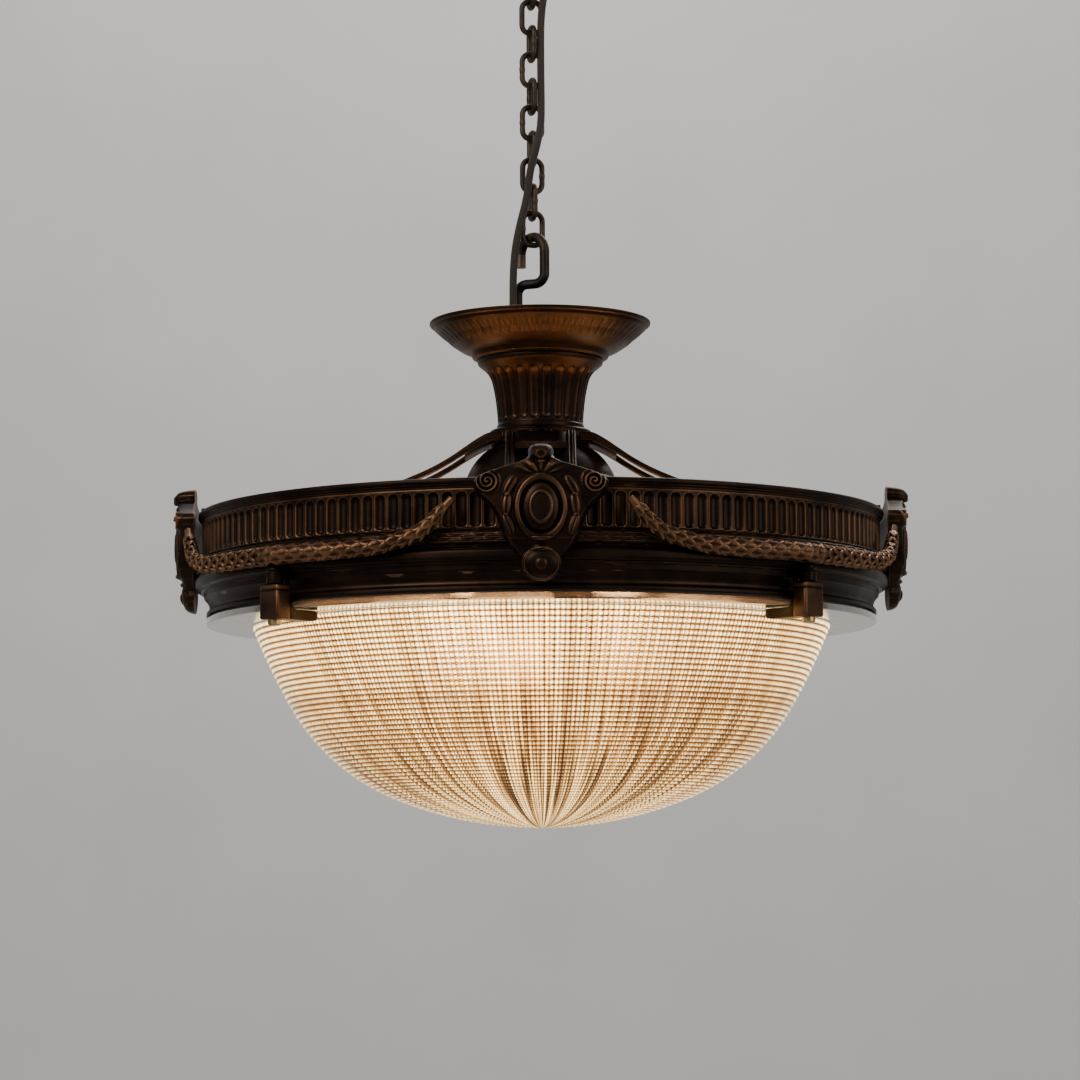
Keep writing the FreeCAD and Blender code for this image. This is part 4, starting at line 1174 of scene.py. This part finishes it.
def prism_side():
    """The bowl's outer face, stepped into ring prisms, and the glow at each point."""
    outer = np.vstack([
        arc_between((206, -79.5), (180.3, BOWL_SHOULDER), 0.9, 200)[:-1],
        arc_between((180.3, BOWL_SHOULDER), (103.3, -202.5), 9.0, 300)[:-1],
        arc_between((103.3, -202.5), (0, -222.5), 5.0, 300),
    ])
    run = running_length(outer)
    ring_marks = np.arange(PRISM_RINGS * PER_RING + 1) / PER_RING
    place_in_ring = ring_marks % 1
    marks = 0.6 + ring_marks / PRISM_RINGS * (run[-1] - 2.0)
    r = np.interp(marks, run, outer[:, 0])
    z = np.interp(marks, run, outer[:, 1])
    dr, dz = np.gradient(r), np.gradient(z)
    size = np.hypot(dr, dz)
    deep = np.where(z < BOWL_SHOULDER, 1.75, 1.05)
    lift = deep * (np.interp(place_in_ring, PRISM_PLACES, PRISM_SHAPE) - 1.0)
    lift[-PER_RING * 2:] *= 0.4
    r, z = np.maximum(r + -dz / size * lift, 0.4), z + dr / size * lift
    a_grid, r_grid = np.meshgrid(turn(PRISM_COLUMNS), r)
    z_grid = np.repeat(z[:, None], PRISM_COLUMNS, 1)
    points = around(r_grid, a_grid, z_grid)
    level = 0.40 + 0.66 * lamp_glow(points)
    by_height = np.interp(z_grid, *GLOW_BY_HEIGHT)
    shoulder_line = 1 - 0.12 * np.exp(-((z_grid + 138) / 3.5) ** 2)
    facet = np.interp(place_in_ring, PRISM_PLACES, PRISM_GLOW)[:, None]
    near_pole = unit((POLE_REACH - r_grid) / POLE_REACH)
    petals = 0.5 + 0.5 * np.cos(a_grid * 15 + 0.6 + 1.5 * near_pole)
    glow = unit(level * by_height * shoulder_line * facet * (1 - near_pole * 0.6 * petals))
    return points, glow, depth_down(z_grid)


def fluted_side():
    """The bowl's inner face, with upright flutes, and the glow at each point."""
    inner = np.vstack([
        arc_between((201.2, -80.5), (175.7, -132), 0.8, 26)[:-1],
        arc_between((175.7, -132), (101.6, -197.6), 8.5, 30)[:-1],
        arc_between((101.6, -197.6), (1.2, -217.2), 4.8, 20),
    ])
    columns = GLASS_FLUTES // 2 * INNER_PER_FLUTE
    a_grid, r_grid = np.meshgrid(turn(columns), inner[:, 0])
    z_grid = np.repeat(inner[:, 1][:, None], columns, 1)
    wave = INNER_FLUTE[np.arange(columns) % INNER_PER_FLUTE]
    r_grid = r_grid - wave[None, :] * INNER_FLUTE_DEPTH * unit(r_grid / 60)
    points = around(r_grid, a_grid, z_grid)
    glow = unit(0.35 + 0.5 * lamp_glow(points)) * (0.55 + 0.45 * wave[None, :])
    return points, glow, depth_down(z_grid)


def build_bowl():
    """The prismatic basin with its painted glow, and the clear flange round it."""
    outside, *outside_paint = prism_side()
    inside, *inside_paint = fluted_side()
    shell = Shell()
    shell.add(outside, grid_faces(*outside.shape[:2])[:, ::-1])
    shell.add(inside, grid_faces(*inside.shape[:2]))
    piece = shell.build("bowl", PRISM_GLASS, "prismatic_glass", "fixture", ["glass_bowl"])
    for name, out, into in zip(("glow", "depth_down"), outside_paint, inside_paint):
        attribute = piece.data.attributes.new(name, "FLOAT", "POINT")
        attribute.data.foreach_set("value", np.concatenate([out.ravel(), into.ravel()]).astype(np.float32))
    flange = profile([
        (201.2, -80.4, 0.4), (201.2, -74.6, 0.4), (238, -74.6, 0.9), (238, -79.4, 0.9),
        (207, -79.6, 0.8), (206.0, -80.6, 0.2),
    ], 5, 3.0)
    shell = Shell()
    revolved(shell, flange, turn(360))
    shell.build("bowl_flange", CLEAR_GLASS, "prismatic_glass", "fixture", ["glass_bowl"])


def clear_glass_material():
    n = Nodes("clear_flange_glass")
    seeds = n.noise(120, 4, 0.6)
    tint = n.ramp(seeds, (0.3, (0.20, 0.145, 0.10)), (0.7, (0.30, 0.225, 0.16)))
    return n.surface(
        Base_Color=tint,
        Roughness=n.span(seeds, 0.3, 0.7, 0.10, 0.18),
        IOR=1.16,
        Transmission_Weight=0.75,
        Normal=n.bump(seeds, 0.1, 0.0004),
    )


CLEAR_GLASS = clear_glass_material()
build_bowl()


# ---- materials of the CAD nodes that stay

KEPT = (
    (BRONZE, "ceiling_plate"),
    (IRON, "ceiling_eye", "suspension_hook"),
    (BRASS, "eye_nut", "hook_nut", "stem_nut", "lamp_nut", "central_stem", "clip_screws", "lamp_plate",
     "terminal_bracket"),
    (PLASTIC, "flex_bush", "lampholder_1", "lampholder_2", "lampholder_3"),
    (FELT, "glass_gasket"),
    (CERAMIC, "terminal_block"),
    (BULB, "bulb_1", "bulb_2", "bulb_3"),
)
for material, *names in KEPT:
    for name in names:
        mesh = nodes[name].data
        mesh.materials.clear()
        mesh.materials.append(material)
        mesh.polygons.foreach_set("material_index", [0] * len(mesh.polygons))


# ---- studio


def wall_material():
    n = Nodes("pale_paper")
    grain = n.noise(3, 4, 0.5)
    colour = n.ramp(grain, (0.3, (0.80, 0.785, 0.765)), (0.7, (0.84, 0.825, 0.805)))
    return n.surface(Base_Color=colour, Roughness=n.span(grain, 0.3, 0.7, 0.85, 0.95))


FLOOR_Z, FLOOR_FRONT, WALL_Y, WALL_TOP = -4.4, -14.0, 6.5, 9.0
SWEEP_RADIUS, STAGE_HALF_WIDTH = 2.2, 16.0


def build_stage():
    """A pale floor that sweeps up into a back wall."""
    profile = [(FLOOR_FRONT, FLOOR_Z)]
    for step in range(25):
        a = math.radians(step * 90 / 24)
        profile.append((
            WALL_Y - SWEEP_RADIUS + SWEEP_RADIUS * math.sin(a),
            FLOOR_Z + SWEEP_RADIUS - SWEEP_RADIUS * math.cos(a),
        ))
    profile.append((WALL_Y, WALL_TOP))
    points, faces = [], []
    for y, z in profile:
        points += [(-STAGE_HALF_WIDTH, y, z), (STAGE_HALF_WIDTH, y, z)]
    for i in range(len(profile) - 1):
        faces.append((2 * i, 2 * i + 1, 2 * i + 3, 2 * i + 2))
    mesh = bpy.data.meshes.new("backdrop")
    mesh.from_pydata(points, [], faces)
    mesh.polygons.foreach_set("use_smooth", [True] * len(faces))
    mesh.materials.append(wall_material())
    backdrop = put("backdrop", mesh)


build_stage()


def area_light(name, spot, aim, size, power, colour):
    data = bpy.data.lights.new(name, "AREA")
    data.shape = "DISK"
    data.size = size
    data.energy = power
    data.color = colour
    light = put(name, data)
    light.location = spot
    light.rotation_euler = (Vector(aim) - Vector(spot)).to_track_quat("-Z", "Y").to_euler()


centre = (AXIS_X, 0, RING_TOP - 0.05)
area_light("key", (-1.9, -2.2, 1.1), centre, 1.6, 42, (1.0, 0.96, 0.90))
area_light("fill", (2.3, -1.6, 0.2), centre, 1.8, 16, (1.0, 0.97, 0.93))
area_light("rim", (1.2, 1.5, 1.4), centre, 1.2, 22, (1.0, 0.95, 0.88))
area_light("backdrop_wash", (0, 3.0, 4.2), (0, 6.3, -1.4), 3.0, 180, (1.0, 0.99, 0.97))

LAMP_REACH, LAMP_DEPTH = 0.06, 0.115

for degrees in LAMP_ANGLES:
    a = math.radians(degrees)
    data = bpy.data.lights.new("lamp", "POINT")
    data.energy = 1.4
    data.color = (1.0, 0.68, 0.38)
    data.shadow_soft_size = 0.02
    lamp = put("lamp", data)
    lamp.location = (AXIS_X + LAMP_REACH * math.cos(a), LAMP_REACH * math.sin(a), RING_TOP - LAMP_DEPTH)

world = bpy.data.worlds.new("studio")
bpy.context.scene.world = world
world.use_nodes = True
background = world.node_tree.nodes["Background"]
background.inputs["Color"].default_value = (0.80, 0.79, 0.77, 1)
background.inputs["Strength"].default_value = 0.3
